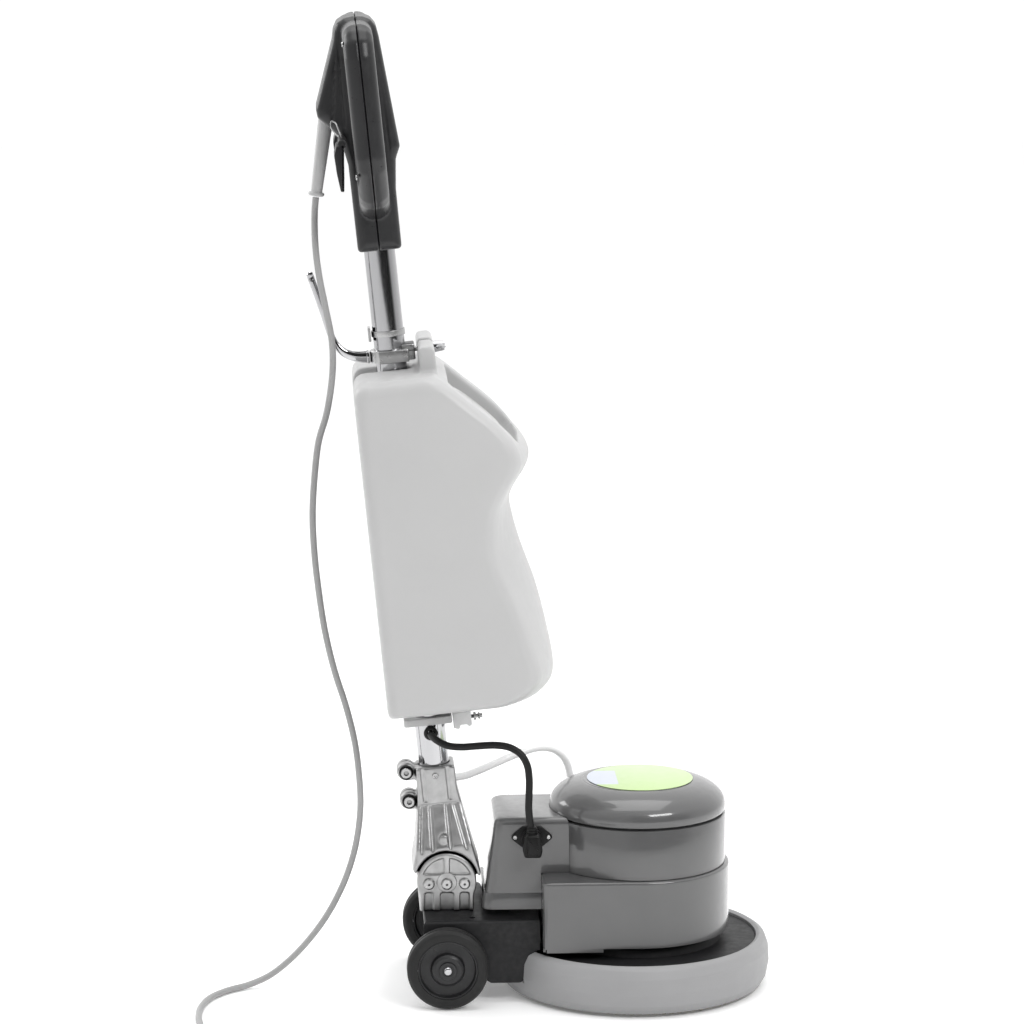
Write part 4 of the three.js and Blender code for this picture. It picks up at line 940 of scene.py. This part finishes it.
# ---------- rear frame, wheels and hinge block ----------
def rear_frame():
    """Folded sheet: a top with a cheek down each side, a front flange and a foot on the deck."""
    out, inn = FRAME_HALF, FRAME_HALF - 3
    section = [(-out, 20), (-inn, 20), (-inn, 102), (inn, 102), (inn, 20), (out, 20), (out, FRAME_TOP),
               (-out, FRAME_TOP)]
    folded = prism(rounded(section, [0, 0, 2, 2, 0, 0, 4.5, 4.5], 5), -265.5, -122.5, "x")
    cheek = [(-265.5, 105), (-265.5, 38), (-262, 34), (-195, 34), (-183, 26), (-145, 26), (-127, 52),
             (-127, 67), (-122.5, 67), (-122.5, 105)]
    side = prism(rounded(cheek, [5, 3, 3, 5, 6, 8, 8, 1, 1, 3], 4), -120, 120, "y")
    sheet = combine("INTERSECT", folded, side)
    front = block(-125.5, -122.5, -89.6, 89.6, 67, 103.4)
    foot = block(-125.5, -106, -70, 70, 60.3, 69.5)
    holes = [cutter(8.3, -150, 150, "y", AXLE), cutter(9, 95, 110, "z", (-160, 0, 0))]
    holes += [cutter(4, 95, 110, "z", (-205, side * 74, 0), 24) for _, side in SIDES]
    piece("frame_sheet", combine("DIFFERENCE", sheet, *holes), "black_paint", "base", ("rear_frame",),
          smooth=30)
    piece("frame_front", merged(front, foot), "black_paint", "base", bevel=0.8)


def wheels():
    tyre = rounded([(37, -12), (46, -12), (50, -8), (50, 8), (46, 12), (37, 12)], [0.6, 4, 4, 4, 4, 0.6], 6)
    tyre = tyre[:len(tyre) // 2] + [(50, -1.4), (49, -0.9), (49, 0.9), (50, 1.4)] + tyre[len(tyre) // 2:]
    hub = rounded([(8.4, -12.4), (16.5, -12.4), (19.5, -10), (21, -4.5), (33.6, -3.5), (35, -11), (36.7, -11),
                   (36.7, 11), (35, 11), (33.6, 3.5), (21, 4.5), (19.5, 10), (16.5, 12.4), (8.4, 12.4)],
                  [0.5, 1.5, 1.5, 2, 1, 0.6, 0.5, 0.5, 0.6, 1, 2, 1.5, 1.5, 0.5], 4)
    for name, side in SIDES:
        centre = (WHEEL_X, side * WHEEL_MIDDLE, WHEEL_Z)
        piece(f"tyre_{name}", lathe(tyre, "y", centre, 96), "tyre_rubber", f"wheel_{name}",
              (f"wheel_tyre_{name}",), smooth=40)
        piece(f"hub_{name}", lathe(hub, "y", centre, 96), "black_plastic", f"wheel_{name}",
              (f"wheel_hub_{name}",), smooth=40)
    tip = [(0, 123), (4.8, 123), (5.0, 124.6), (4.2, 125.6), (2.6, 126), (0, 126)]
    bar = merged(rod(8, -123, 123, "y", AXLE), *(on_side(tip, side, AXLE) for _, side in SIDES))
    axle = piece("axle", bar, "machine_steel", "base", ("wheel_axle",), finish=LOOKS["polished_steel"])
    cap = [(0, 122.9), (10.4, 122.9), (11, 123.4), (10.6, 124.2), (6.6, 124.2), (6.2, 123.4), (0, 123.4)]
    caps = piece("axle_caps", merged(*(on_side(cap, side, AXLE) for _, side in SIDES)), "black_plastic",
                 "base")
    caps.parent = axle


def hinge_block():
    """Two round cheeks on a base, with sunk panels in their outer faces."""
    post = 33.5
    cheek = [(PIVOT_X - post, 105.3), (PIVOT_X + post, 105.3),
             *arc(PIVOT_X, PIVOT_Z, HUB_RADIUS, -25, 205, 40)]
    parts = [pillow(rounded(cheek, 0.5, 1), *span(side, HUB_INNER, HUB_OUTER), "y", 1.6, 3)
             for _, side in SIDES]
    parts.append(block(PIVOT_X - post, PIVOT_X + post, -HUB_OUTER, HUB_OUTER, 105.3, 111.8))
    cuts = [cutter(10.6, -60, 60, "y", HINGE)]
    for _, side in SIDES:
        shallow = span(side, HUB_OUTER - 3.2, HUB_OUTER + 4)
        quarter = [(3, 9.5), *arc(0, 0, 31, 18, 84, 12)]
        for panel in (quarter, mirrored(quarter)):
            corners = [(PIVOT_X + a, PIVOT_Z + b) for a, b in panel]
            cuts.append(pillow(rounded(corners, 1), *shallow, "y", 0.8, 2))
        deep = span(side, HUB_OUTER - 5, HUB_OUTER + 4)
        for start, end in ((-28, -16), (-8.5, 9), (16, 28)):
            left, right = PIVOT_X + start, PIVOT_X + end
            channel = [(left, 100), (right, 100), (right, 129), (left, 129)]
            cuts.append(pillow(rounded(channel, [0, 0, 4, 4]), *deep, "y", 0.6, 2))
    whole = cast(combine("UNION", *parts), 1.1, 4)
    piece("hinge_cheeks", cast(combine("DIFFERENCE", whole, *cuts), 0.8, 4), "cast_aluminium", "base",
          ("hinge_block",), smooth=60)
    disc = [(0, 44), (12.2, 44), (12.4, 45.4), (11.8, 46), (0, 46)]
    discs = [on_side(disc, side, HINGE, 64) for _, side in SIDES]
    piece("hinge_pin", merged(rod(10, -45.3, 45.3, "y", HINGE), *discs), "cast_aluminium", "base",
          ("hinge_bolt",))
    screws = []
    for _, side in SIDES:
        for way, rise in ((-1, 0), (0, 0.9), (1, 0)):
            place = (PIVOT_X + 22 * way, side * (HUB_OUTER + rise), PIVOT_Z - 1.5)
            screws.append(screw(7, 4.6, place, "y", side, 0.22))
    piece("hinge_screws", merged(*screws), "machine_steel", "base")


# ---------- handle: yoke, tube and the pieces at the tank's foot ----------
EAR_D = -35.5
EAR_HEIGHTS = (("upper", 137.5), ("lower", 100.5))


def yoke():
    """A casting that clamps the tube: a split sleeve with ribbed flanks that widen to the hub."""
    flank = [(-41, 16), (28, -2), (44, 4), (37, 40), (30, 84), (25, 118), (25, 143), (-23.5, 143), (-24, 118),
             (-27.5, 83), (-34, 42)]
    body = prism(rounded(flank, [5, 5, 6, 8, 8, 8, 3, 3, 8, 8, 8]), -HUB_OUTER, HUB_OUTER, "y")
    slope = [(HUB_OUTER + 1, 42), (70, 42), (70, 160), (24.5, 160), (24.5, 94)]
    cuts = [prism(slope, -60, 60, "x"), prism(mirrored(slope), -60, 60, "x")]
    for _, side in SIDES:
        cuts.append(cutter(HUB_RADIUS + 2.4, *span(side, HUB_INNER - 0.6, 60), "y", segments=96))
    shell = combine("DIFFERENCE", body, *cuts)
    web = prism([(-41, 16), (-26, 6), (26, -6), (43, 5), (37, 40), (-34, 42)], -HUB_INNER + 0.6,
                HUB_INNER - 0.6, "y")
    barrel = rod(28, -HUB_INNER + 0.6, HUB_INNER - 0.6, "y", (0, 0, 0), 1.5, 80)
    ears = []
    for _, height in EAR_HEIGHTS:
        ears.append(rod(11.5, -14, 14, "y", (EAR_D, 0, height), 1.5))
        ears.append(block(EAR_D, -12, -14, 14, height - 11, height + 5.4))
    bosses = [rod(5.5, *span(side, 36, 45), "y", (2, 0, 55), 1) for _, side in SIDES]
    whole = cast(combine("UNION", shell, web, barrel, *ears, *bosses), 1.3, 9)
    grooves = []
    for _, side in SIDES:
        for above, below in ((-19.5, -27), (-10, -12.5), (10, 9.5), (19.5, 30)):
            grooves.append(sweep([(above, side * 25, 95), (below, side * 48, 38)], 2.8, 16))
        for across in (-16, 15):
            grooves.append(sweep([(across, side * 25.6, 99), (across, side * 25.6, 150)], 3.0, 14))
        grooves.append(sweep([(-30, side * 25.6, 95), (32, side * 25.6, 95)], 2.2, 12))
    tools = [tube_bore(31.7, 200), block(-60, 0, -1.5, 1.5, 78, 200), cutter(10.6, -60, 60, "y")]
    tools += [cutter(4.3, -60, 60, "y", (EAR_D, 0, height)) for _, height in EAR_HEIGHTS]
    carved = combine("DIFFERENCE", whole, *grooves, *tools)
    piece("yoke_casting", cast(carved, 0.9, 4), "cast_aluminium", "handle", ("yoke",), 60)
    screws = [screw(4, 2.2, (0, side * 24, 131.5), "y", side, 0.45) for _, side in SIDES]
    piece("yoke_screws", merged(*screws), "machine_steel", "handle")
    for name, height in EAR_HEIGHTS:
        centre = (EAR_D, 0, height)
        head = lathe([(3.2, -16), (6.6, -16), (6.6, -20.4), (5.8, -21.4), (3.2, -21.4), (3.2, -18), (0, -18),
                      (0, -16)], "y", centre, 48)
        washer = lathe([(4.3, -14.2), (8.8, -14.2), (8.8, -17.6), (7.8, -18.4), (7.2, -16), (4.3, -16)], "y",
                       centre, 48)
        piece(f"clamp_washer_{name}", washer, "machine_steel", "handle", finish=INLET_BLACK)
        parts = merged(rod(4, -15, 15, "y", centre), head, hexagon(7, 14.3, 20, "y", centre))
        piece(f"clamp_screw_{name}", parts, "machine_steel", "handle", (f"pinch_bolt_{name}",))


def tube():
    pipe = rounded([(17.5, 32), (TUBE_RADIUS, 32), (TUBE_RADIUS, 985), (17.5, 985)], [0, 0.5, 0.5, 0])
    piece("tube", lathe(pipe, segments=96), "polished_steel", "handle", ("handle_tube",))
    ring = rounded([(4.8, -15), (6.2, -15), (6.2, -19.6), (8.8, -19.6), (8.8, -23), (6.4, -25), (4.8, -25)],
                   [0, 0, 0.5, 0.6, 2, 1.2, 0])
    piece("grommet", lathe(ring, "y", (0, 0, GROMMET_HEIGHT), 48), "black_rubber", "handle",
          ("lead_grommet",))
    band = lathe(rounded([(19.2, 681), (20.6, 681), (20.6, 688), (19.2, 688)], 0.3), segments=64)
    clip = merged(block(-24.6, -21.4, -10, 10, 676, 693), band)
    piece("tube_clip", clip, "machine_steel", "handle", bevel=0.8)


def tank_foot():
    plate = pillow([(-32, -24), (28, -24), (28, 24), (-32, 24)], 195.5, 204.7, "z", 1.4, 3, 5)
    piece("tank_seat", combine("DIFFERENCE", plate, tube_bore(150, 220)), "bracket_plastic", "handle",
          ("tank_bracket",))
    outline = [(52, 204.7), (52, 187), (48, 185), (46, 188), (38, 188), (36, 183), (29, 185), (29, 204.7)]
    lug = pillow(outline[::-1], -9, 9, "y", 1.2, 3, 1.6)
    thread = [(0, 45), (2.5, 45)]
    for i in range(10):
        thread += [(2.6, 46 + i), (2.1, 46.5 + i)]
    thread += [(2.5, 56), (2.5, 66), (0, 66)]
    washer = lathe(rounded([(0, 55), (5, 55), (5, 58), (0, 58)], [0, 0.6, 0.6, 0]), "x", (0, 0, 196), 40)
    shaft = lathe(thread, "x", (0, 0, 196), 24)
    nut = hexagon(4.6, 60.5, 63, "x", (0, 0, 196))
    # The lug takes the lighter copy of the tank plastic: painted light.
    obj = piece("drain_block", lug, "tank_plastic", "handle", ("drain_lug",), finish=LUG_PAINTED_LIGHT)
    metal = piece("drain_screw", merged(washer, shaft, nut), "machine_steel", "handle")
    metal.parent = obj


# ---------- solution tank ----------
TANK_FRONT = [(198, 58), (204, 105), (218, 138), (240, 157), (262, 160), (310, 155.5), (360, 147.5),
              (410, 134.5), (448, 127.5), (474, 126.5), (496, 138), (510, 150), (525, 156), (545, 147),
              (570, 124), (605, 88.5), (632, 61), (641, 49)]
TANK_SIDE = [(198, 50), (204, 90), (218, 117), (240, 133), (262, 140), (310, 132), (360, 119), (410, 104),
             (448, 105), (474, 111), (496, 124), (510, 134), (525, 141), (545, 138), (570, 122), (605, 87),
             (632, 59), (641, 47)]
TANK_LIFTS = ((198, 204, 218, 240, 262), (7, 3, 2, 1, 0), (24, 22, 17, 9, 0))
CAP_PLACE = Vector((103, 0, 589.5))
SLOPE = 44
TROUGH_FLOOR = -24
NECK_TOP = -13


def on_slope(bm):
    return moved(turned(bm, SLOPE, "Y"), CAP_PLACE)


def lifted(height, y):
    """The underside rises from the middle to both sides, less and less up the tank."""
    lift = float(np.interp(height, TANK_LIFTS[0], TANK_LIFTS[1]))
    return height + lift + float(np.interp(height, TANK_LIFTS[0], TANK_LIFTS[2])) * abs(y) / 110


def tank_shell(wall):
    """The tank's outside, or its inside for a wall thickness, without the tube channel and the trough."""
    front = [(p.x, p.y) for p in smooth_path([(a, b, 0) for a, b in TANK_FRONT], 14)]
    side = [(p.x, p.y) for p in smooth_path([(a, b, 0) for a, b in TANK_SIDE], 14)]
    heights = sorted({round(a, 1) for a, _ in front})
    rings = []
    for height in heights[2:-2] if wall else heights:
        ahead = float(np.interp(height, *zip(*front)))
        beside = float(np.interp(height, *zip(*side)))
        end = min(height - TANK_BOTTOM, TANK_TOP - height)
        corner = 20
        pull = 0 if end >= corner else corner - math.sqrt(corner ** 2 - (corner - end) ** 2)
        half = 125 - pull * 0.75 - wall
        rear = -50 + pull * 0.6 + wall
        r = 16
        reach = beside - wall
        curve = []
        for k in range(17):
            y = (half - 12) * (k / 8 - 1)
            curve.append((ahead - wall - (ahead - beside) * (y / (half - 12)) ** 2, y))
        outline = [*arc(rear + r, -half + r, r, 180, 270, 6), (reach - 14, -half), (reach - 5, -half + 4),
                   *curve, (reach - 5, half - 4), (reach - 14, half), *arc(rear + r, half - r, r, 90, 180, 6),
                   *((rear, y) for y in (80, 50, 25, 0, -25, -50, -80))]
        rings.append([Vector((d, y, lifted(height, y) + (wall if height < 230 else 0))) for d, y in outline])
    rings[-1] = [Vector((p.x, p.y, p.z - wall)) for p in rings[-1]]
    first = rings[0]
    for share in (0.85, 0.6, 0.3, 0.03):
        inner = [(30 + (p.x - 30) * share, p.y * share) for p in first]
        rings.insert(0, [Vector((d, y, lifted(TANK_BOTTOM, y) + wall * 1.6)) for d, y in inner])
    return loft(rings)


def tank():
    channel = pillow(rounded([(-90, -22), (22, -22), (22, 22), (-90, 22)], [0, 6, 6, 0], 5), 150, 700, "z",
                     0.5)
    trough = on_slope(pillow(rounded([(-52, -88), (58, -88), (58, 88), (-52, 88)], 12, 5), TROUGH_FLOOR, 60,
                             "z", 5))
    ridge = prism(rounded([(33, 622), (53, 620), (53, 668), (50, 672), (36, 672), (33, 668)],
                          [0, 0, 4, 4, 4, 4]), -76, 76, "y")
    notch = pillow([(30, -9), (60, -9), (60, 9), (30, 9)], 652, 690, "z", 0.5)
    neck = on_slope(rod(34, TROUGH_FLOOR - 6, NECK_TOP, "z", (0, 0, 0), 1.2, 80))
    outlet = lathe([(3.2, 215), (3.2, 189), (7.4, 189), (8, 190), (8.2, 192), (9, 215)], centre=(-6, 37, 0))
    solid = combine("UNION", combine("DIFFERENCE", tank_shell(0), trough), ridge)
    solid = cast(combine("DIFFERENCE", solid, channel, notch), 2.3, 7)
    inside = combine("DIFFERENCE", tank_shell(4), on_slope(block(-56, 62, -92, 92, TROUGH_FLOOR - 5, 60)),
                     block(-90, 26, -26, 26, 150, 700))
    bore = on_slope(cutter(30, TROUGH_FLOOR - 36, 20, segments=80))
    skin = combine("DIFFERENCE", combine("UNION", solid, neck), inside, bore)
    piece("tank", merged(skin, outlet), "tank_plastic", "handle", ("solution_tank",), 60)

    low, high = TROUGH_FLOOR + GAP, NECK_TOP + 4
    knurl = []
    for i in range(120):
        turn = 2 * math.pi * i / 120
        radius = 39.9 if i % 3 else 38.9
        knurl.append((radius * math.cos(turn), radius * math.sin(turn)))
    top = lathe([(0, high - 4), (38.4, high - 4), (39, high - 2.2), (36.5, high), (30, high),
                 (29, high - 0.8), (0, high - 0.8)], segments=120)
    grip = pillow(rounded([(-26, -4), (26, -4), (26, 4), (-26, 4)], 3.9), high - 3, high - 0.1, "z", 1.4, 3)
    skirt = combine("DIFFERENCE", prism(knurl, low, high - 2.6, "z"),
                    cutter(34.6, TROUGH_FLOOR - 10, NECK_TOP + GAP, segments=80))
    piece("tank_cap", on_slope(merged(skirt, top, turned(grip, 90, "Z"))), "tank_plastic", "tank_cap",
          ("filler_cap",))


# ---------- tank clamp and cord hook ----------
def clamp():
    low, high = CLAMP_HEIGHT - 7.5, CLAMP_HEIGHT + 7.5
    bolt_height = CLAMP_HEIGHT + BOLT_RISE
    collar = lathe(rounded([(19.3, low), (25, low), (25, high), (19.3, high)], [0, 1.2, 1.2, 0]), segments=80)
    bolt_hole = cutter(3.8, 5, 60, "x", (0, 0, bolt_height))
    front = pillow(rounded([(0, -13), (30, -13), (30, 13), (0, 13)], [0, 2.5, 2.5, 0]), low,
                   CLAMP_HEIGHT + 12, "z", 1.4, 3)
    ear = pillow(rounded([(-15, -27), (22, -27), (22, -18), (-15, -18)], 1.5), low, high, "z", 1, 3)
    step = block(12, 31, -14, 14, CLAMP_HEIGHT + 3.8, CLAMP_HEIGHT + 4.8)
    body = combine("DIFFERENCE", combine("UNION", collar, front, ear), tube_bore(600, 700), bolt_hole, step)
    piece("clamp_block", body, "machine_steel", "handle", ("tank_clamp",))
    piece("clamp_top", pillow(rounded([(14, -12.4), (29.6, -12.4), (29.6, 12.4), (14, 12.4)], 2),
                              CLAMP_HEIGHT + 11.6, CLAMP_HEIGHT + 12.4, "z", 0.3, 2),
          "black_plastic", "handle")
    thread = [(0, 20.5), (3.4, 20.5), (3.4, 32)]
    for i in range(24):
        thread += [(3.4, 32.2 + 1.4 * i), (2.9, 32.9 + 1.4 * i)]
    thread += [(3.2, 65.8), (2.6, 66.4), (0, 66.4)]
    piece("clamp_stud", lathe(thread, "x", (0, 0, bolt_height), 32), "machine_steel", "handle",
          ("clamp_bolt",))
    boss = lathe([(3.7, 53.4), (7, 53.4), (7, 56), (5.6, 66), (3.7, 66)], "x", (0, 0, bolt_height), 48)
    wings = []
    for _, side in SIDES:
        rings = []
        for y, tip, low_d, thick in ((4, 66, 54.5, 4.4), (8, 67.2, 56, 2.6), (12, 68, 59, 1.9),
                                     (14, 67, 62, 1.4)):
            middle, half = (tip + low_d) / 2, (tip - low_d) / 2
            rings.append([Vector((middle + half * math.cos(t), side * y, bolt_height + thick * math.sin(t)))
                          for t in (2 * math.pi * k / 20 for k in range(20))])
        wings.append(loft(rings))
    piece("wing", merged(boss, *wings), "polished_steel", "nut", ("wing_nut",), 50)

    route = smooth_path([(-26.5, 0, 657), (-36, 0, 657.6), (-46, 0, 660), (-58, 0, 667), (-67, 0, 681),
                         (-75.5, 0, 716), (-81.5, 0, 742), (-87, 0, 764)], 2.5)
    arm = sweep(route, lambda t: 2.6 if t < 0.95 else 1.6, 20, lambda t: 7.4 - 3.2 * min(1, t / 0.35))
    root = pillow(rounded([(-29, -9), (-25.4, -9), (-25.4, 9), (-29, 9)], 1), CLAMP_HEIGHT - 7,
                  CLAMP_HEIGHT + 7, "z", 1, 2)
    tip = lathe([(0, -2.6), (3, -2.2), (4.3, 0), (3, 2.2), (0, 2.6)], "y", route[-1], 32)
    piece("hook", merged(arm, root, tip), "polished_steel", "handle", ("cord_hook",), 50)


# ---------- handle head ----------
HEAD_TOP = 1069
LEVER_PIVOT = (-31, 0, 928)
BUTTON_PLACE = Vector((-41.4, 0, 1005))
SPINE = [(-26, 789), (27, 789), (27.5, 862), (31, 897), (37.5, 912), (26, 1045), (24, 1057), (18, 1065.5),
         (9, 1070), (-2, 1071.2), (-13, 1070), (-22.5, 1065), (-27.5, 1056), (-30, 1044), (-58, 966),
         (-57, 955), (-33, 930), (-26.5, 895)]
LOOP_HALF = [(29, 791), (33, 812), (46, 828), (112, 847), (126, 856), (161, 893), (168, 910), (168, 1030),
             (164, 1049), (153, 1061), (138, HEAD_TOP - 2)]
WINDOW_HALF = [(53, 872), (124, 897), (131, 905), (132, 1022), (124, 1031), (60, 1034), (53, 1027)]


def on_button(bm):
    return moved(turned(bm, -72, "Y"), BUTTON_PLACE)


def head():
    """Two half shells round the tube: a middle housing and a loop with a grip on each side."""
    middle = pillow(SPINE, -49, 49, "y", 11, 6, 5)
    loop = pillow([*LOOP_HALF, *mirrored(LOOP_HALF)], -18, 18, "x", 15, 7, 16)
    windows = [pillow(points, -20, 20, "x", -11, 6, 8) for points in (WINDOW_HALF, mirrored(WINDOW_HALF))]
    loop = combine("DIFFERENCE", loop, *windows)
    whole = combine("UNION", middle, loop)
    cuts = [tube_bore(700, 988), cutter(7.5, 930, 975, "z", (-46.5, 0, 0)), on_button(cutter(11.6, -20, 20))]
    for _, side in SIDES:
        cuts.append(cutter(3.3, *span(side, 40, 60), "y", LEVER_PIVOT))
        for foot, tip in (((-26, 902), (-23, 1052)), ((-40, 944), (-26, 1044)), ((25, 880), (21.5, 1052)),
                          ((31, 915), (24, 1040))):
            ends = [(foot[0], side * 49.4, foot[1]), (tip[0], side * 49.4, tip[1])]
            cuts.append(sweep(ends, 1.8, 12))
    whole = combine("DIFFERENCE", whole, *cuts)
    for name, low, high in (("front", 0.2, 100), ("rear", -100, -0.2)):
        half = combine("INTERSECT", whole.copy(), block(low, high, -200, 200, 700, 1200))
        piece(f"head_{name}", cast(half, 1.4, 3), "black_plastic", "handle", (f"head_shell_{name}",), 60)
    whole.free()
    screws = [screw(3.2, 1.2, (-18.2, y, height), "x", -1) for y, height in
              ((-150, 890), (150, 890), (-150, 1046), (150, 1046))]
    piece("head_screws", merged(*screws), "machine_steel", "handle")


def controls():
    """A lever behind each grip on its wire spring, and the button between them."""
    for name, side in SIDES:
        barrel = rod(5, *span(side, 49.6, 118), "y", LEVER_PIVOT, 1)
        stub = rod(3, *span(side, 44, 50), "y", LEVER_PIVOT, 0.3)
        paddle = [(-38.5, 926), (-42, 915), (-41, 893), (-38.5, 872), (-34.5, 871), (-32.5, 888), (-31, 905),
                  (-28.5, 928)]
        plate = pillow(rounded(paddle, [2, 3, 8, 1.4, 1.4, 8, 8, 1]), *span(side, 58, 118), "y", 2, 3)
        piece(f"lever_{name}_paddle", merged(barrel, stub, plate), "black_plastic", f"lever_{name}",
              (f"switch_lever_{name}",))
        wire = smooth_path([(-33, side * 60, 931), (-38, side * 60, 936), (-42, side * 60, 944),
                            (-41, side * 60, 951), (-36.5, side * 60, 949), (-33.5, side * 60, 940),
                            (-31.5, side * 60, 932)], 1.5)
        piece(f"lever_{name}_spring", sweep(wire, 0.9, 10), "machine_steel", f"lever_{name}")
    button = lathe(rounded([(0, -4), (11, -4), (11, 1.2), (9.5, 2.4), (0, 2.4)], [0, 0.4, 1, 1.2, 0]),
                   segments=64)
    piece("button_cap", on_button(button), "black_plastic", "button", ("lock_button",))


INNER = {
    "gear_case": "cast_aluminium", "output_bearing": "machine_steel", "ring_gear": "machine_steel",
    "planet_carrier": "machine_steel", "planet_gear_1": "nylon", "planet_gear_2": "nylon",
    "planet_gear_3": "nylon", "rotor_shaft": "machine_steel", "rotor_core": "machine_steel",
    "lower_end_bell": "cast_aluminium", "upper_end_bell": "cast_aluminium",
    "stator_windings": "copper_winding",
    "start_capacitor": "black_plastic", "switch_module": "black_plastic", "drive_plate": "cast_aluminium",
}


def inner_parts():
    for name, slot in INNER.items():
        obj = frame["nodes"][name]
        obj.data.materials.clear()
        obj.data.materials.append(LOOKS[slot])


camera()
studio()
deck()
brush()
housings()
electrics_box()
inlet()
rear_frame()
wheels()
hinge_block()
yoke()
tube()
tank_foot()
tank()
clamp()
head()
controls()
inner_parts()
mains_lead()
leads()

bpy.context.view_layer.update()
